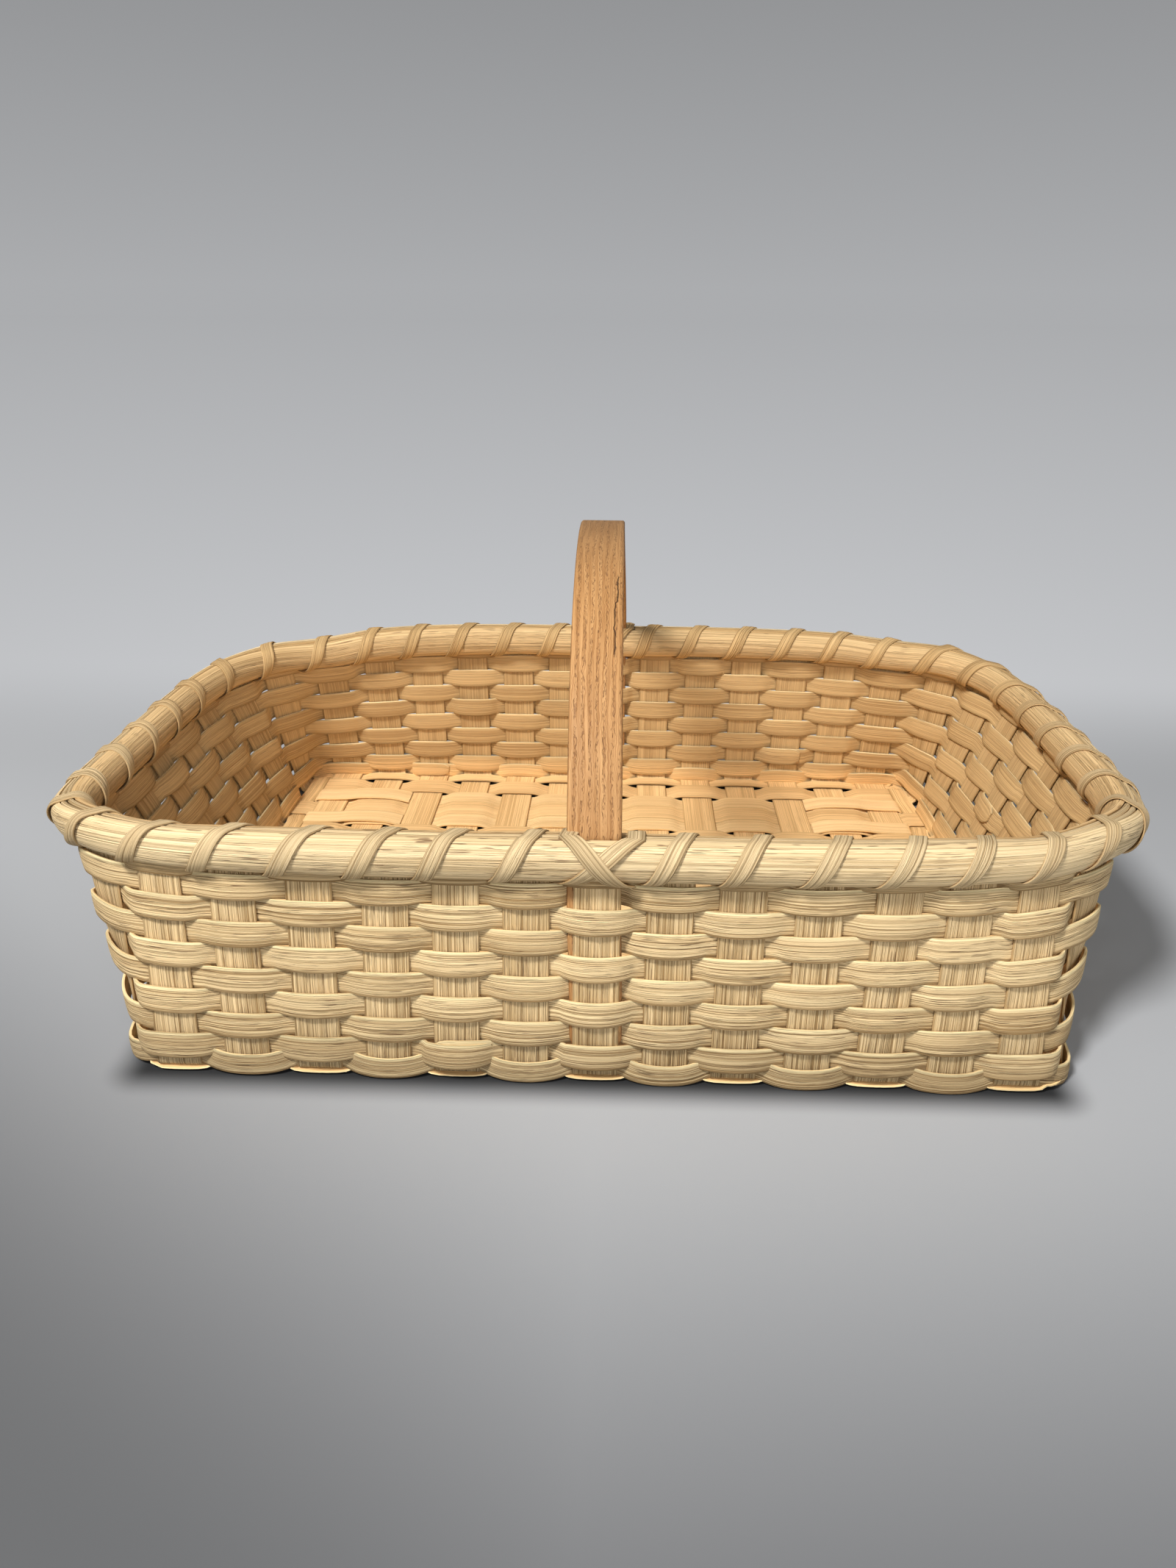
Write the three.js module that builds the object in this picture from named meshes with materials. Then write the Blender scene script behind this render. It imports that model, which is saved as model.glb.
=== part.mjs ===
// Gathering basket: plain woven flat reed, a lashed double rim and a bent oak handle.
// Millimetres, +Z up. The origin is the middle of the base, on the surface the basket stands on.
// X runs along the basket, Y across it, in the plane of the handle.
import * as THREE from 'three';

// Reed
const STAKE_WIDTH = 19;
const STAKE_THICKNESS = 1.2;
const WEAVER_WIDTH = 8.85;
const WEAVER_THICKNESS = 1.2;
const LASHING_WIDTH = 5.9;
const LASHING_THICKNESS = 1;
const CLEARANCE = 0.3;
const SIDE_PLAY = 0.1;
const ROW_GAP = 0.7;

// Base
const CROSS_STAKES = 13;
const CROSS_PITCH = 29.2;
const LONG_STAKES = 9;
const LONG_PITCH = 35;
const EDGE_ROW_MARGIN = 2.55;
const BEND_LENGTH = 2;

// Walls and rim
const WALL_ROWS = 9;
const OVERLAP_STAKES = 2;
const ROW_STARTS = [8, 25, 38, 16, 30, 18, 40, 24, 4, 32];
const EDGE_ROW_START = 19;
const RIM_LENGTH = 472;
const RIM_WIDTH = 310.4;
const FRONT_LEFT_SQUARENESS = 5.6;
const FRONT_RIGHT_SQUARENESS = 4.2;
const BACK_LEFT_SQUARENESS = 3.2;
const BACK_RIGHT_SQUARENESS = 3.9;
const CROSS_PITCH_AT_RIM = 29.3;
const RIM_HEIGHT = 17;
const RIM_THICKNESS = 7.2;
const RIM_SHOULDER = 4.1;
const RIM_ROUNDING = 1.4;
const STAKE_TIP_DEPTH = 4;
const STRAND_SIZE = 2.2;

// Lashing
const LASHING_SLANT = 1.15;
const LASHING_ARC = LASHING_WIDTH * LASHING_SLANT;
const CROSSING_WIDTH = 1.5 * LASHING_ARC;
const CORNER_SLACK = 1;
const WRAP_LEAN = 0.42;
const STRAND_INSET = 4;
const MITRE_LIMIT = 0.5;

// Handle
const HANDLE_WIDTH = 21.8;
const HANDLE_THICKNESS = 5.2;
const HANDLE_TAIL_THICKNESS = 2.6;
const HANDLE_NOTCH = 1.9;
const HANDLE_EASED_EDGE = 1;
const HANDLE_APEX = 201.2;
const HANDLE_ARCH_CENTRE = 60;
const HANDLE_TAIL_TIP = 6;

// Levels of the base weave: strips lie under, at or over the level of the cross stakes
const LAYER_STEP = STAKE_THICKNESS + CLEARANCE;
const BASE_LEVEL = LAYER_STEP + STAKE_THICKNESS / 2;
const EDGE_LAYER_STEP = (STAKE_THICKNESS + WEAVER_THICKNESS) / 2 + CLEARANCE;
const FILLER_WIDTH = LONG_PITCH - STAKE_WIDTH - 2 * CLEARANCE;

// Half sizes of the base, out to the fold of the stakes
const CROSS_REACH = (CROSS_STAKES - 1) / 2;
const LONG_REACH = (LONG_STAKES - 1) / 2;
const EDGE_BAND = EDGE_ROW_MARGIN + WEAVER_WIDTH + CLEARANCE + BEND_LENGTH;
const BASE_HALF_LENGTH = CROSS_REACH * CROSS_PITCH + STAKE_WIDTH / 2 + EDGE_BAND;
const BASE_HALF_WIDTH = LONG_REACH * LONG_PITCH + STAKE_WIDTH / 2 + EDGE_BAND;

// Heights along the slope of the wall, measured from the fold
const ROW_PITCH = WEAVER_WIDTH + ROW_GAP;
const LOWEST_ROW = BEND_LENGTH + CLEARANCE;
const WALL_TOP = LOWEST_ROW + WALL_ROWS * ROW_PITCH;
const LASHING_LEVEL = WALL_TOP + LASHING_THICKNESS / 2;
const RIM_BOTTOM = WALL_TOP + LASHING_THICKNESS + 3 * CLEARANCE;
const RIM_TOP = RIM_BOTTOM + RIM_HEIGHT;
const RIM_MIDDLE = (RIM_BOTTOM + RIM_TOP) / 2;
const STAKE_TOP = RIM_TOP - STAKE_TIP_DEPTH;
const TAIL_END = LOWEST_ROW + ROW_PITCH + CLEARANCE;

// Offsets from the middle of the wall, outwards positive
const WEAVER_OFFSET = (STAKE_THICKNESS + WEAVER_THICKNESS) / 2 + CLEARANCE;
const WEAVER_STEP = WEAVER_THICKNESS + CLEARANCE;
const RIM_SEAT = WEAVER_OFFSET + WEAVER_THICKNESS / 2 + 3 * CLEARANCE;
const HANDLE_FACE = STAKE_THICKNESS / 2 + CLEARANCE;
const NOTCH_THICKNESS = HANDLE_THICKNESS - HANDLE_NOTCH;
const HANDLE_RIM_SEAT = HANDLE_FACE + NOTCH_THICKNESS + CLEARANCE;

const EDGE = STAKE_WIDTH / 2 + CLEARANCE;
const HANDLE_EDGE = HANDLE_WIDTH / 2 + CLEARANCE + SIDE_PLAY;
const STAKE_COUNT = 2 * (CROSS_STAKES + LONG_STAKES);
const FRONT_HANDLE_STAKE = CROSS_REACH;
const BACK_HANDLE_STAKE = CROSS_STAKES + LONG_STAKES + CROSS_REACH;

const reed = (name, color, roughness) => {
  return new THREE.MeshStandardMaterial({ name, color, roughness, metalness: 0, flatShading: true });
};
const stakeReed = reed('stake_reed', 0xd3b27c, 0.75);
const weaverReed = reed('weaver_reed', 0xe2c994, 0.7);
const fillerReed = reed('filler_reed', 0xdcbb7e, 0.65);
const rimReed = reed('rim_reed', 0xe8d7ab, 0.65);
const lashingReed = reed('lashing_reed', 0xd6c496, 0.7);
const oak = reed('oak', 0xc9975f, 0.6);

const basket = new THREE.Group();

function addPiece(name, geometry, material) {
  const mesh = new THREE.Mesh(geometry, material);
  mesh.name = name;
  basket.add(mesh);
}

const vector = (x, y, z) => new THREE.Vector3(x, y, z);
const mix = (a, b, t) => a + (b - a) * t;
const along = (point, direction, distance) => point.clone().addScaledVector(direction, distance);
const twoDigits = (number) => String(number).padStart(2, '0');

// A closed body lofted through sections that all have the same number of corners. The two halves
// of each section are split by parallel diagonals, so facing strips stay parallel where they twist.
function loft(sections, closed = false) {
  const corners = sections[0].length;
  const positions = sections.flat().flatMap((corner) => corner.toArray());
  const faces = [];
  const spans = closed ? sections.length : sections.length - 1;
  for (let i = 0; i < spans; i += 1) {
    const here = i * corners;
    const next = ((i + 1) % sections.length) * corners;
    for (let k = 0; k < corners; k += 1) {
      const a = here + k;
      const b = here + ((k + 1) % corners);
      const c = next + ((k + 1) % corners);
      const d = next + k;
      if (k < corners / 2) {
        faces.push(a, b, c, a, c, d);
      } else {
        faces.push(a, b, d, b, c, d);
      }
    }
  }
  if (!closed) {
    const last = (sections.length - 1) * corners;
    for (let k = 1; k < corners - 1; k += 1) {
      faces.push(0, k + 1, k);
      faces.push(last, last + k, last + k + 1);
    }
  }
  const geometry = new THREE.BufferGeometry();
  geometry.setAttribute('position', new THREE.Float32BufferAttribute(positions, 3));
  geometry.setIndex(signedVolume(positions, faces) < 0 ? faces.reverse() : faces);
  geometry.computeVertexNormals();
  return geometry;
}

function signedVolume(positions, faces) {
  const corner = (i) => vector(...positions.slice(3 * i, 3 * i + 3));
  let volume = 0;
  for (let i = 0; i < faces.length; i += 3) {
    volume += corner(faces[i]).dot(corner(faces[i + 1]).cross(corner(faces[i + 2])));
  }
  return volume / 6;
}

// Rim outline: a superellipse, seen from above. It is bent by hand, and each corner differs.
const rimHalfLength = RIM_LENGTH / 2;
const rimHalfWidth = RIM_WIDTH / 2;

function squarenessAt(x, y) {
  if (y < 0) {
    return x < 0 ? FRONT_LEFT_SQUARENESS : FRONT_RIGHT_SQUARENESS;
  }
  return x < 0 ? BACK_LEFT_SQUARENESS : BACK_RIGHT_SQUARENESS;
}

function rimAcross(x, side) {
  const power = squarenessAt(x, side);
  return side * rimHalfWidth * (1 - (Math.abs(x) / rimHalfLength) ** power) ** (1 / power);
}

function rimHeading(x, y) {
  const power = squarenessAt(x, y) - 1;
  const normalX = Math.sign(x) * (Math.abs(x) / rimHalfLength) ** power / rimHalfLength;
  const normalY = Math.sign(y) * (Math.abs(y) / rimHalfWidth) ** power / rimHalfWidth;
  return Math.atan2(normalX, -normalY);
}

// Points spaced evenly round one end of the rim, counter-clockwise between its two outermost
// cross stakes. The end is 1 for the right hand end and -1 for the left.
function endPointsAtRim(end) {
  const x = end * CROSS_REACH * CROSS_PITCH_AT_RIM;
  const first = Math.atan2(end * rimAcross(x, -end), end * x);
  const last = Math.atan2(end * rimAcross(x, end), end * x);
  const steps = 4000;
  const path = [];
  for (let i = 0; i <= steps; i += 1) {
    const bearing = mix(first, last, i / steps);
    const ray = new THREE.Vector2(end * Math.cos(bearing), end * Math.sin(bearing));
    const power = squarenessAt(ray.x, ray.y);
    const lengthwise = Math.abs(ray.x / rimHalfLength) ** power;
    const crosswise = Math.abs(ray.y / rimHalfWidth) ** power;
    path.push(ray.multiplyScalar((lengthwise + crosswise) ** (-1 / power)));
  }
  const lengths = [0];
  for (let i = 1; i <= steps; i += 1) {
    lengths.push(lengths[i - 1] + path[i].distanceTo(path[i - 1]));
  }
  const points = [];
  for (let n = 1; n <= LONG_STAKES; n += 1) {
    const target = (lengths[steps] * n) / (LONG_STAKES + 1);
    points.push(path[lengths.findIndex((length) => length >= target)]);
  }
  return points;
}

// The stakes' wall lines, numbered counter-clockwise from the left end of the front wall. Each runs
// from its fold at the base to the middle of the rim, and turns from the base's side to the rim's.
function makeWallStake(foldX, foldY, heading, rimX, rimY) {
  const fold = vector(foldX, foldY, BASE_LEVEL);
  const run = Math.hypot(rimX - foldX, rimY - foldY);
  const rise = Math.sqrt(RIM_MIDDLE ** 2 - run ** 2);
  const slope = vector(rimX - foldX, rimY - foldY, rise).normalize();
  const twist = rimHeading(rimX, rimY) - heading;
  const turn = twist - 2 * Math.PI * Math.round(twist / (2 * Math.PI));
  return { fold, heading, slope, turn, knots: wallKnots(Math.abs(turn)) };
}

const SMALL_TWIST = 0.012;
const CORNER_TWIST = 0.6;
const PANEL_TWIST = 0.12;
const TWIST_MARGIN = 1.2;

function wallKnots(turn) {
  if (turn > CORNER_TWIST) {
    const rows = Array.from({ length: WALL_ROWS }, (_, i) => LOWEST_ROW + i * ROW_PITCH);
    return [0, ...rows, WALL_TOP, STAKE_TOP];
  }
  const panels = Math.max(1, Math.round(turn / PANEL_TWIST));
  return Array.from({ length: panels + 1 }, (_, i) => (STAKE_TOP * i) / panels);
}

const headingAt = (stake, height) => {
  const t = Math.min(1, height / RIM_MIDDLE);
  const eased = 1 - (1 - t) ** 2;
  return stake.heading + stake.turn * (Math.abs(stake.turn) > SMALL_TWIST ? eased : 0);
};

function knotPoint(stake, height, sideways, offset) {
  const heading = headingAt(stake, height);
  const side = vector(Math.cos(heading), Math.sin(heading), 0);
  const out = side.clone().cross(stake.slope).normalize();
  return along(along(along(stake.fold, stake.slope, height), side, sideways), out, offset);
}

function wallPoint(stake, sideways, height, offset) {
  let upper = stake.knots.findIndex((knot, i) => i > 0 && knot > height - 1e-9);
  if (upper < 0) {
    upper = stake.knots.length - 1;
  }
  const low = stake.knots[upper - 1];
  const high = stake.knots[upper];
  const start = knotPoint(stake, low, sideways, offset);
  const end = knotPoint(stake, high, sideways, offset);
  return start.lerp(end, (height - low) / (high - low));
}

// Room a flat panel needs beside a twisted one
function twistRoom(stake) {
  const panels = stake.knots.length - 1;
  const turn = Math.abs(stake.turn) > SMALL_TWIST ? Math.abs(stake.turn) : 0;
  return TWIST_MARGIN * (STAKE_WIDTH / 4) * Math.sin(Math.min(turn / panels, PANEL_TWIST));
}

function makeWallStakes() {
  const stakes = [];
  for (const side of [1, -1]) {
    const facing = side > 0 ? 0 : Math.PI;
    const endRim = endPointsAtRim(side);
    for (let n = -CROSS_REACH; n <= CROSS_REACH; n += 1) {
      const rimX = side * CROSS_PITCH_AT_RIM * n;
      stakes.push(makeWallStake(side * CROSS_PITCH * n, -side * BASE_HALF_WIDTH, facing,
        rimX, rimAcross(rimX, -side)));
    }
    for (let n = 0; n < LONG_STAKES; n += 1) {
      const foldY = LONG_PITCH * (n - LONG_REACH);
      stakes.push(makeWallStake(side * BASE_HALF_LENGTH, side * foldY, facing + Math.PI / 2,
        endRim[n].x, endRim[n].y));
    }
  }
  return stakes;
}

const wallStakes = makeWallStakes();
const stakeAt = (index) => wallStakes[((index % STAKE_COUNT) + STAKE_COUNT) % STAKE_COUNT];
const isHandleStake = (index) => [FRONT_HANDLE_STAKE, BACK_HANDLE_STAKE].includes(index % STAKE_COUNT);

function baseDirections(stake) {
  const side = vector(Math.cos(stake.heading), Math.sin(stake.heading), 0);
  const out = side.clone().cross(vector(0, 0, 1));
  return { side, out };
}

// A flat strip's section on the base: across is its width, level its height above the floor
function flatSection(centre, across, width, thickness, up = vector(0, 0, 1)) {
  const below = -thickness / 2;
  const above = thickness / 2;
  return [[-width / 2, below], [width / 2, below], [width / 2, above], [-width / 2, above]].map(
    ([sideways, lift]) => along(along(centre, across, sideways), up, lift));
}

// The wall part of a stake, from the fold up: two sections round the bend, then the wall's knots
function wallSections(stake, flip) {
  const { side, out } = baseDirections(stake);
  const inward = out.clone().negate();
  const toCentre = inward.clone().add(stake.slope).normalize();
  const half = Math.acos(inward.dot(stake.slope)) / 2;
  const radius = BEND_LENGTH * Math.tan(half);
  const middle = along(stake.fold, toCentre, radius / Math.sin(half) - radius);
  const order = flip ? -1 : 1;
  const across = side.clone().multiplyScalar(order);
  const sections = [
    flatSection(along(stake.fold, inward, BEND_LENGTH), across, STAKE_WIDTH, STAKE_THICKNESS),
    flatSection(middle, across, STAKE_WIDTH, STAKE_THICKNESS, toCentre),
  ];
  const heights = [BEND_LENGTH, ...stake.knots.filter((knot) => knot > BEND_LENGTH)];
  for (const height of heights) {
    sections.push([[-1, 1], [1, 1], [1, -1], [-1, -1]].map(([sideways, outwards]) => wallPoint(
      stake, (order * sideways * STAKE_WIDTH) / 2, height, (outwards * STAKE_THICKNESS) / 2)));
  }
  return sections;
}

// Cross stakes lie flat across the base and turn up the front and back walls
function makeCrossStake(n) {
  const front = stakeAt(n);
  const back = stakeAt(2 * CROSS_STAKES + LONG_STAKES - 1 - n);
  return loft([...wallSections(front, true).reverse(), ...wallSections(back, false)]);
}

// Long stakes and fillers weave over and under the cross stakes
const crossX = (n) => CROSS_PITCH * n;

function wovenSections(y, width, isOver) {
  const sections = [];
  for (let n = -CROSS_REACH; n <= CROSS_REACH; n += 1) {
    const level = BASE_LEVEL + (isOver(n) ? LAYER_STEP : -LAYER_STEP);
    for (const side of [-1, 1]) {
      const x = crossX(n) + side * (EDGE + SIDE_PLAY);
      sections.push(flatSection(vector(x, y, level), vector(0, 1, 0), width, STAKE_THICKNESS));
    }
  }
  return sections;
}

function makeLongStake(n) {
  const y = LONG_PITCH * n;
  const right = stakeAt(CROSS_STAKES + LONG_REACH + n);
  const left = stakeAt(2 * CROSS_STAKES + LONG_STAKES + LONG_REACH - n);
  const restX = BASE_HALF_LENGTH - BEND_LENGTH - CLEARANCE - WEAVER_WIDTH - CLEARANCE;
  const rest = (x) => flatSection(vector(x, y, BASE_LEVEL), vector(0, 1, 0), STAKE_WIDTH, STAKE_THICKNESS);
  return loft([
    ...wallSections(left, true).reverse(),
    rest(-restX),
    ...wovenSections(y, STAKE_WIDTH, (cross) => (cross + n) % 2 === 0),
    rest(restX),
    ...wallSections(right, false),
  ]);
}

// Fillers close the gaps between the long stakes. Each end folds up round the outermost cross
// stake and comes back over it.
function makeFiller(y) {
  const across = vector(0, 1, 0);
  const edge = crossX(CROSS_REACH) + EDGE + SIDE_PLAY;
  const folded = (direction) => {
    const point = (x, level, up) => flatSection(vector(direction * x, y, level),
      across, FILLER_WIDTH, STAKE_THICKNESS, up);
    return [
      point(edge + LAYER_STEP - 2 * SIDE_PLAY, BASE_LEVEL, vector(-direction, 0, 0)),
      point(edge, BASE_LEVEL + LAYER_STEP, vector(0, 0, -1)),
      point(crossX(CROSS_REACH) - EDGE, BASE_LEVEL + LAYER_STEP, vector(0, 0, -1)),
    ];
  };
  const sections = wovenSections(y, FILLER_WIDTH, (cross) => cross % 2 !== 0);
  return loft([...folded(-1).reverse(), ...sections, ...folded(1)]);
}

// Handle profile: thickness of the oak at a height along the wall
function handleThickness(height) {
  const t = (height - TAIL_END) / (RIM_BOTTOM - TAIL_END);
  return mix(HANDLE_TAIL_THICKNESS, HANDLE_THICKNESS, Math.min(1, Math.max(0, t)));
}

// Weaver rows on the wall. Row 1 is the highest that shows, row 0 is hidden by the rims. Each
// passes outside one stake and inside the next, and its ends overlap by a few stakes.
function rowBottom(row) {
  return row === 0 ? RIM_BOTTOM + CLEARANCE : LOWEST_ROW + (WALL_ROWS - row) * ROW_PITCH;
}

const passesOutside = (row, stake) => (row + stake) % 2 === 0;

function rowOffset(row, index, overlapped, secondLap) {
  const outside = passesOutside(row, index);
  const room = WEAVER_OFFSET + twistRoom(stakeAt(index));
  const top = rowBottom(row) + WEAVER_WIDTH;
  const clearsTail = top < TAIL_END;
  if (outside) {
    return room + (overlapped && secondLap ? WEAVER_STEP : 0);
  }
  const oakRoom = isHandleStake(index) && !clearsTail ? CLEARANCE + handleThickness(top) : 0;
  return -room - oakRoom - (overlapped && !secondLap ? WEAVER_STEP : 0);
}

// Weavers are flat oval reed: flat towards the basket's inside, crowned towards its outside
function rowSections(row, index, offset) {
  const low = rowBottom(row);
  const high = low + WEAVER_WIDTH;
  const aroundOak = isHandleStake(index) && !passesOutside(row, index) && high > TAIL_END;
  const reach = aroundOak ? HANDLE_EDGE : EDGE;
  const crown = offset + WEAVER_THICKNESS / 2;
  const back = offset - WEAVER_THICKNESS / 2;
  return [-reach, reach].map((sideways) => [[low, back], [(low + high) / 2, crown], [high, back]].map(
    ([height, out]) => wallPoint(stakeAt(index), sideways, height, out)));
}

function makeWallRow(row) {
  const overlap = row === 0 ? 0 : OVERLAP_STAKES;
  const start = ROW_STARTS[row];
  const sections = [];
  for (let n = 0; n < STAKE_COUNT + overlap; n += 1) {
    const index = start + n;
    const overlapped = n < overlap || n >= STAKE_COUNT;
    const offset = rowOffset(row, index, overlapped, n >= STAKE_COUNT);
    sections.push(...rowSections(row, index, offset));
  }
  return loft(sections);
}

// The first row lies flat on the edge of the base, over and under the stakes, and turns its corners
function makeEdgeRow() {
  const row = WALL_ROWS + 1;
  const outerIn = BEND_LENGTH + CLEARANCE;
  const innerIn = outerIn + WEAVER_WIDTH;
  const rails = [];
  const corners = [CROSS_STAKES, CROSS_STAKES + LONG_STAKES];
  corners.push(corners[1] + CROSS_STAKES, 0);
  for (let n = 0; n < STAKE_COUNT; n += 1) {
    const index = (EDGE_ROW_START + n) % STAKE_COUNT;
    const stake = stakeAt(index);
    const { side, out } = baseDirections(stake);
    const level = passesOutside(row, index) ? -EDGE_LAYER_STEP : EDGE_LAYER_STEP;
    for (const sideways of [-EDGE, EDGE]) {
      const spot = along(along(stake.fold, side, sideways), vector(0, 0, 1), level);
      rails.push({ inner: along(spot, out, -innerIn), outer: along(spot, out, -outerIn), index });
    }
  }
  const sections = [];
  rails.forEach((rail, i) => {
    const before = rails[i - 1];
    if (before && before.index !== rail.index && corners.includes(rail.index)) {
      const inner = before.inner.clone().lerp(rail.inner, 0.5);
      const outer = before.outer.clone().lerp(rail.outer, 0.5);
      const across = outer.sub(inner).setZ(0).normalize();
      sections.push({ inner, outer: along(inner, across, WEAVER_WIDTH) });
    }
    sections.push(rail);
  });
  return loft(sections.map(({ inner, outer }) => [
    along(outer, vector(0, 0, 1), -WEAVER_THICKNESS / 2),
    along(inner, vector(0, 0, 1), -WEAVER_THICKNESS / 2),
    along(inner, vector(0, 0, 1), WEAVER_THICKNESS / 2),
    along(outer, vector(0, 0, 1), WEAVER_THICKNESS / 2),
  ]));
}

// Places round the rim: a number is a stake, a fraction lies between two stakes. The rims, their
// filler strands and the lashing all follow the same chain of points.
function makeRimChain() {
  const chain = [];
  wallStakes.forEach((stake, index) => {
    const onSide = index % (CROSS_STAKES + LONG_STAKES);
    const twisted = Math.abs(stake.turn) > 3 * SMALL_TWIST;
    const fromMiddle = onSide - CROSS_REACH;
    const straight = onSide < CROSS_STAKES && !twisted;
    if (isHandleStake(index)) {
      chain.push({ place: index - HANDLE_EDGE / CROSS_PITCH_AT_RIM, index, sideways: -HANDLE_EDGE });
      chain.push({ place: index + HANDLE_EDGE / CROSS_PITCH_AT_RIM, index, sideways: HANDLE_EDGE });
    } else if (twisted) {
      chain.push({ place: index - EDGE / CROSS_PITCH_AT_RIM, index, sideways: -EDGE });
      chain.push({ place: index + EDGE / CROSS_PITCH_AT_RIM, index, sideways: EDGE });
    } else if (!straight || fromMiddle % 2 === 0) {
      chain.push({ place: index, index, sideways: 0 });
    }
  });
  return chain;
}

const rimChain = makeRimChain();

const handleBump = (link) => (isHandleStake(link.index) ? HANDLE_RIM_SEAT - RIM_SEAT : 0);

// Offsets on the inner side bend out round the notched handle
function linkPoint(link, height, offset) {
  const shifted = offset < -RIM_SEAT + 1e-6 ? offset - handleBump(link) : offset;
  return wallPoint(stakeAt(link.index), link.sideways, height, shifted);
}

function rimPoint(place, height, offset) {
  const wrapped = place - STAKE_COUNT * Math.floor((place + 0.5) / STAKE_COUNT);
  let next = rimChain.findIndex((link) => link.place > wrapped);
  if (next < 0) {
    next = 0;
  }
  const before = rimChain[(next - 1 + rimChain.length) % rimChain.length];
  const after = rimChain[next];
  const span = (after.place - before.place + STAKE_COUNT) % STAKE_COUNT;
  const reached = ((wrapped - before.place + STAKE_COUNT) % STAKE_COUNT) / span;
  return linkPoint(before, height, offset).lerp(linkPoint(after, height, offset), reached);
}

// Half round rims, flat side to the wall
function makeRim(side) {
  const half = [
    [RIM_SEAT, RIM_BOTTOM],
    [RIM_SEAT + RIM_SHOULDER, RIM_BOTTOM + RIM_ROUNDING],
    [RIM_SEAT + RIM_THICKNESS, RIM_MIDDLE],
    [RIM_SEAT + RIM_SHOULDER, RIM_TOP - RIM_ROUNDING],
    [RIM_SEAT, RIM_TOP],
  ];
  const sections = rimChain.map((link) => half.map(([out, height]) => linkPoint(link, height, side * out)));
  return loft(sections, true);
}

// Filler strands fill the slot between the rims, over the stakes' tips, from leg to leg
function makeStrand(from, to, offset) {
  const height = RIM_TOP - CLEARANCE - STRAND_SIZE / 2;
  const places = rimChain.map((link) => link.place);
  const twice = [...places, ...places.map((place) => place + STAKE_COUNT)];
  const inside = twice.filter((place) => place > from && place < to);
  const half = STRAND_SIZE / 2;
  return loft([from, ...inside, to].map((place) => [
    rimPoint(place, height - half, offset + half),
    rimPoint(place, height + half, offset),
    rimPoint(place, height - half, offset - half),
  ]));
}

// A strip that follows a route of places, offsets and heights round the rims. Each section is
// mitred, so the strip keeps its thickness round its bends.
function lashStrip(route) {
  const flat = route.map((stop) => new THREE.Vector2(stop.offset, stop.height));
  return loft(route.map((stop, i) => {
    const into = flat[i].clone().sub(flat[Math.max(0, i - 1)]);
    const onward = flat[Math.min(flat.length - 1, i + 1)].clone().sub(flat[i]);
    const first = into.length() > 0 ? into.normalize() : onward.clone().normalize();
    const second = onward.length() > 0 ? onward.normalize() : first.clone();
    const bisector = first.clone().add(second).normalize();
    const out = new THREE.Vector2(bisector.y, -bisector.x);
    const reach = LASHING_THICKNESS / 2 / Math.max(MITRE_LIMIT, first.dot(bisector));
    const half = (stop.width || LASHING_ARC) / 2 / CROSS_PITCH_AT_RIM;
    return [[-half, -reach], [0, reach], [half, -reach]].map(([aside, lift]) => rimPoint(
      stop.place + aside * placeScale(stop.place), stop.height + lift * out.y, stop.offset + lift * out.x));
  }));
}

// Corners of the lashing's loop round the rims, seen in the wall's section
const LASH_SIDE = LASHING_THICKNESS / 2 + CLEARANCE + SIDE_PLAY / 2;
const rimSlope = Math.atan2(RIM_THICKNESS - RIM_SHOULDER, RIM_HEIGHT / 2 - RIM_ROUNDING);
const LASH_OUTSIDE = RIM_SEAT + RIM_THICKNESS + LASH_SIDE / Math.cos(rimSlope);
const LASH_TOP = RIM_TOP + CLEARANCE + LASHING_THICKNESS / 2;
const LASH_CORNER = LASH_OUTSIDE - Math.tan(rimSlope) * (LASH_TOP - RIM_MIDDLE);

// Stakes stand wider apart round the ends, so a place counts for more millimetres there
function placeScale(place) {
  const index = Math.round(place);
  const gap = wallPoint(stakeAt(index), 0, RIM_MIDDLE, 0).distanceTo(
    wallPoint(stakeAt(index + 1), 0, RIM_MIDDLE, 0));
  return CROSS_PITCH_AT_RIM / gap;
}

const gapBesideHandle = ((HANDLE_EDGE + CROSS_PITCH_AT_RIM - EDGE) / 2) / CROSS_PITCH_AT_RIM;

function gapPlace(index) {
  if (isHandleStake(index)) {
    return index + gapBesideHandle;
  }
  return isHandleStake(index + 1) ? index + 1 - gapBesideHandle : index + 0.5;
}

// One wrap to each gap: out under the rims, up over them on a slant and down the inside
function makeLashing() {
  const route = [];
  for (let n = 0; n < STAKE_COUNT; n += 1) {
    const from = gapPlace(n);
    const to = gapPlace(n + 1);
    const crossesHandle = isHandleStake(n + 1);
    const twisted = [n, n + 1].some((index) => Math.abs(stakeAt(index).turn) > PANEL_TWIST / 2);
    const slack = twisted ? CORNER_SLACK : 0;
    const topOut = crossesHandle ? to : from + WRAP_LEAN;
    const topIn = crossesHandle ? to : to - WRAP_LEAN;
    const width = crossesHandle ? CROSSING_WIDTH : LASHING_ARC;
    route.push({ place: from, offset: LASH_CORNER + slack, height: LASHING_LEVEL });
    route.push({ place: (from + topOut) / 2, offset: LASH_OUTSIDE + slack, height: RIM_MIDDLE, width });
    route.push({ place: topOut, offset: LASH_CORNER + slack, height: LASH_TOP });
    route.push({ place: topIn, offset: -LASH_CORNER - slack, height: LASH_TOP });
    route.push({ place: (topIn + to) / 2, offset: -LASH_OUTSIDE - slack, height: RIM_MIDDLE });
    route.push({ place: to, offset: -LASH_CORNER - slack, height: LASHING_LEVEL });
  }
  route.pop();
  return lashStrip(route);
}

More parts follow.
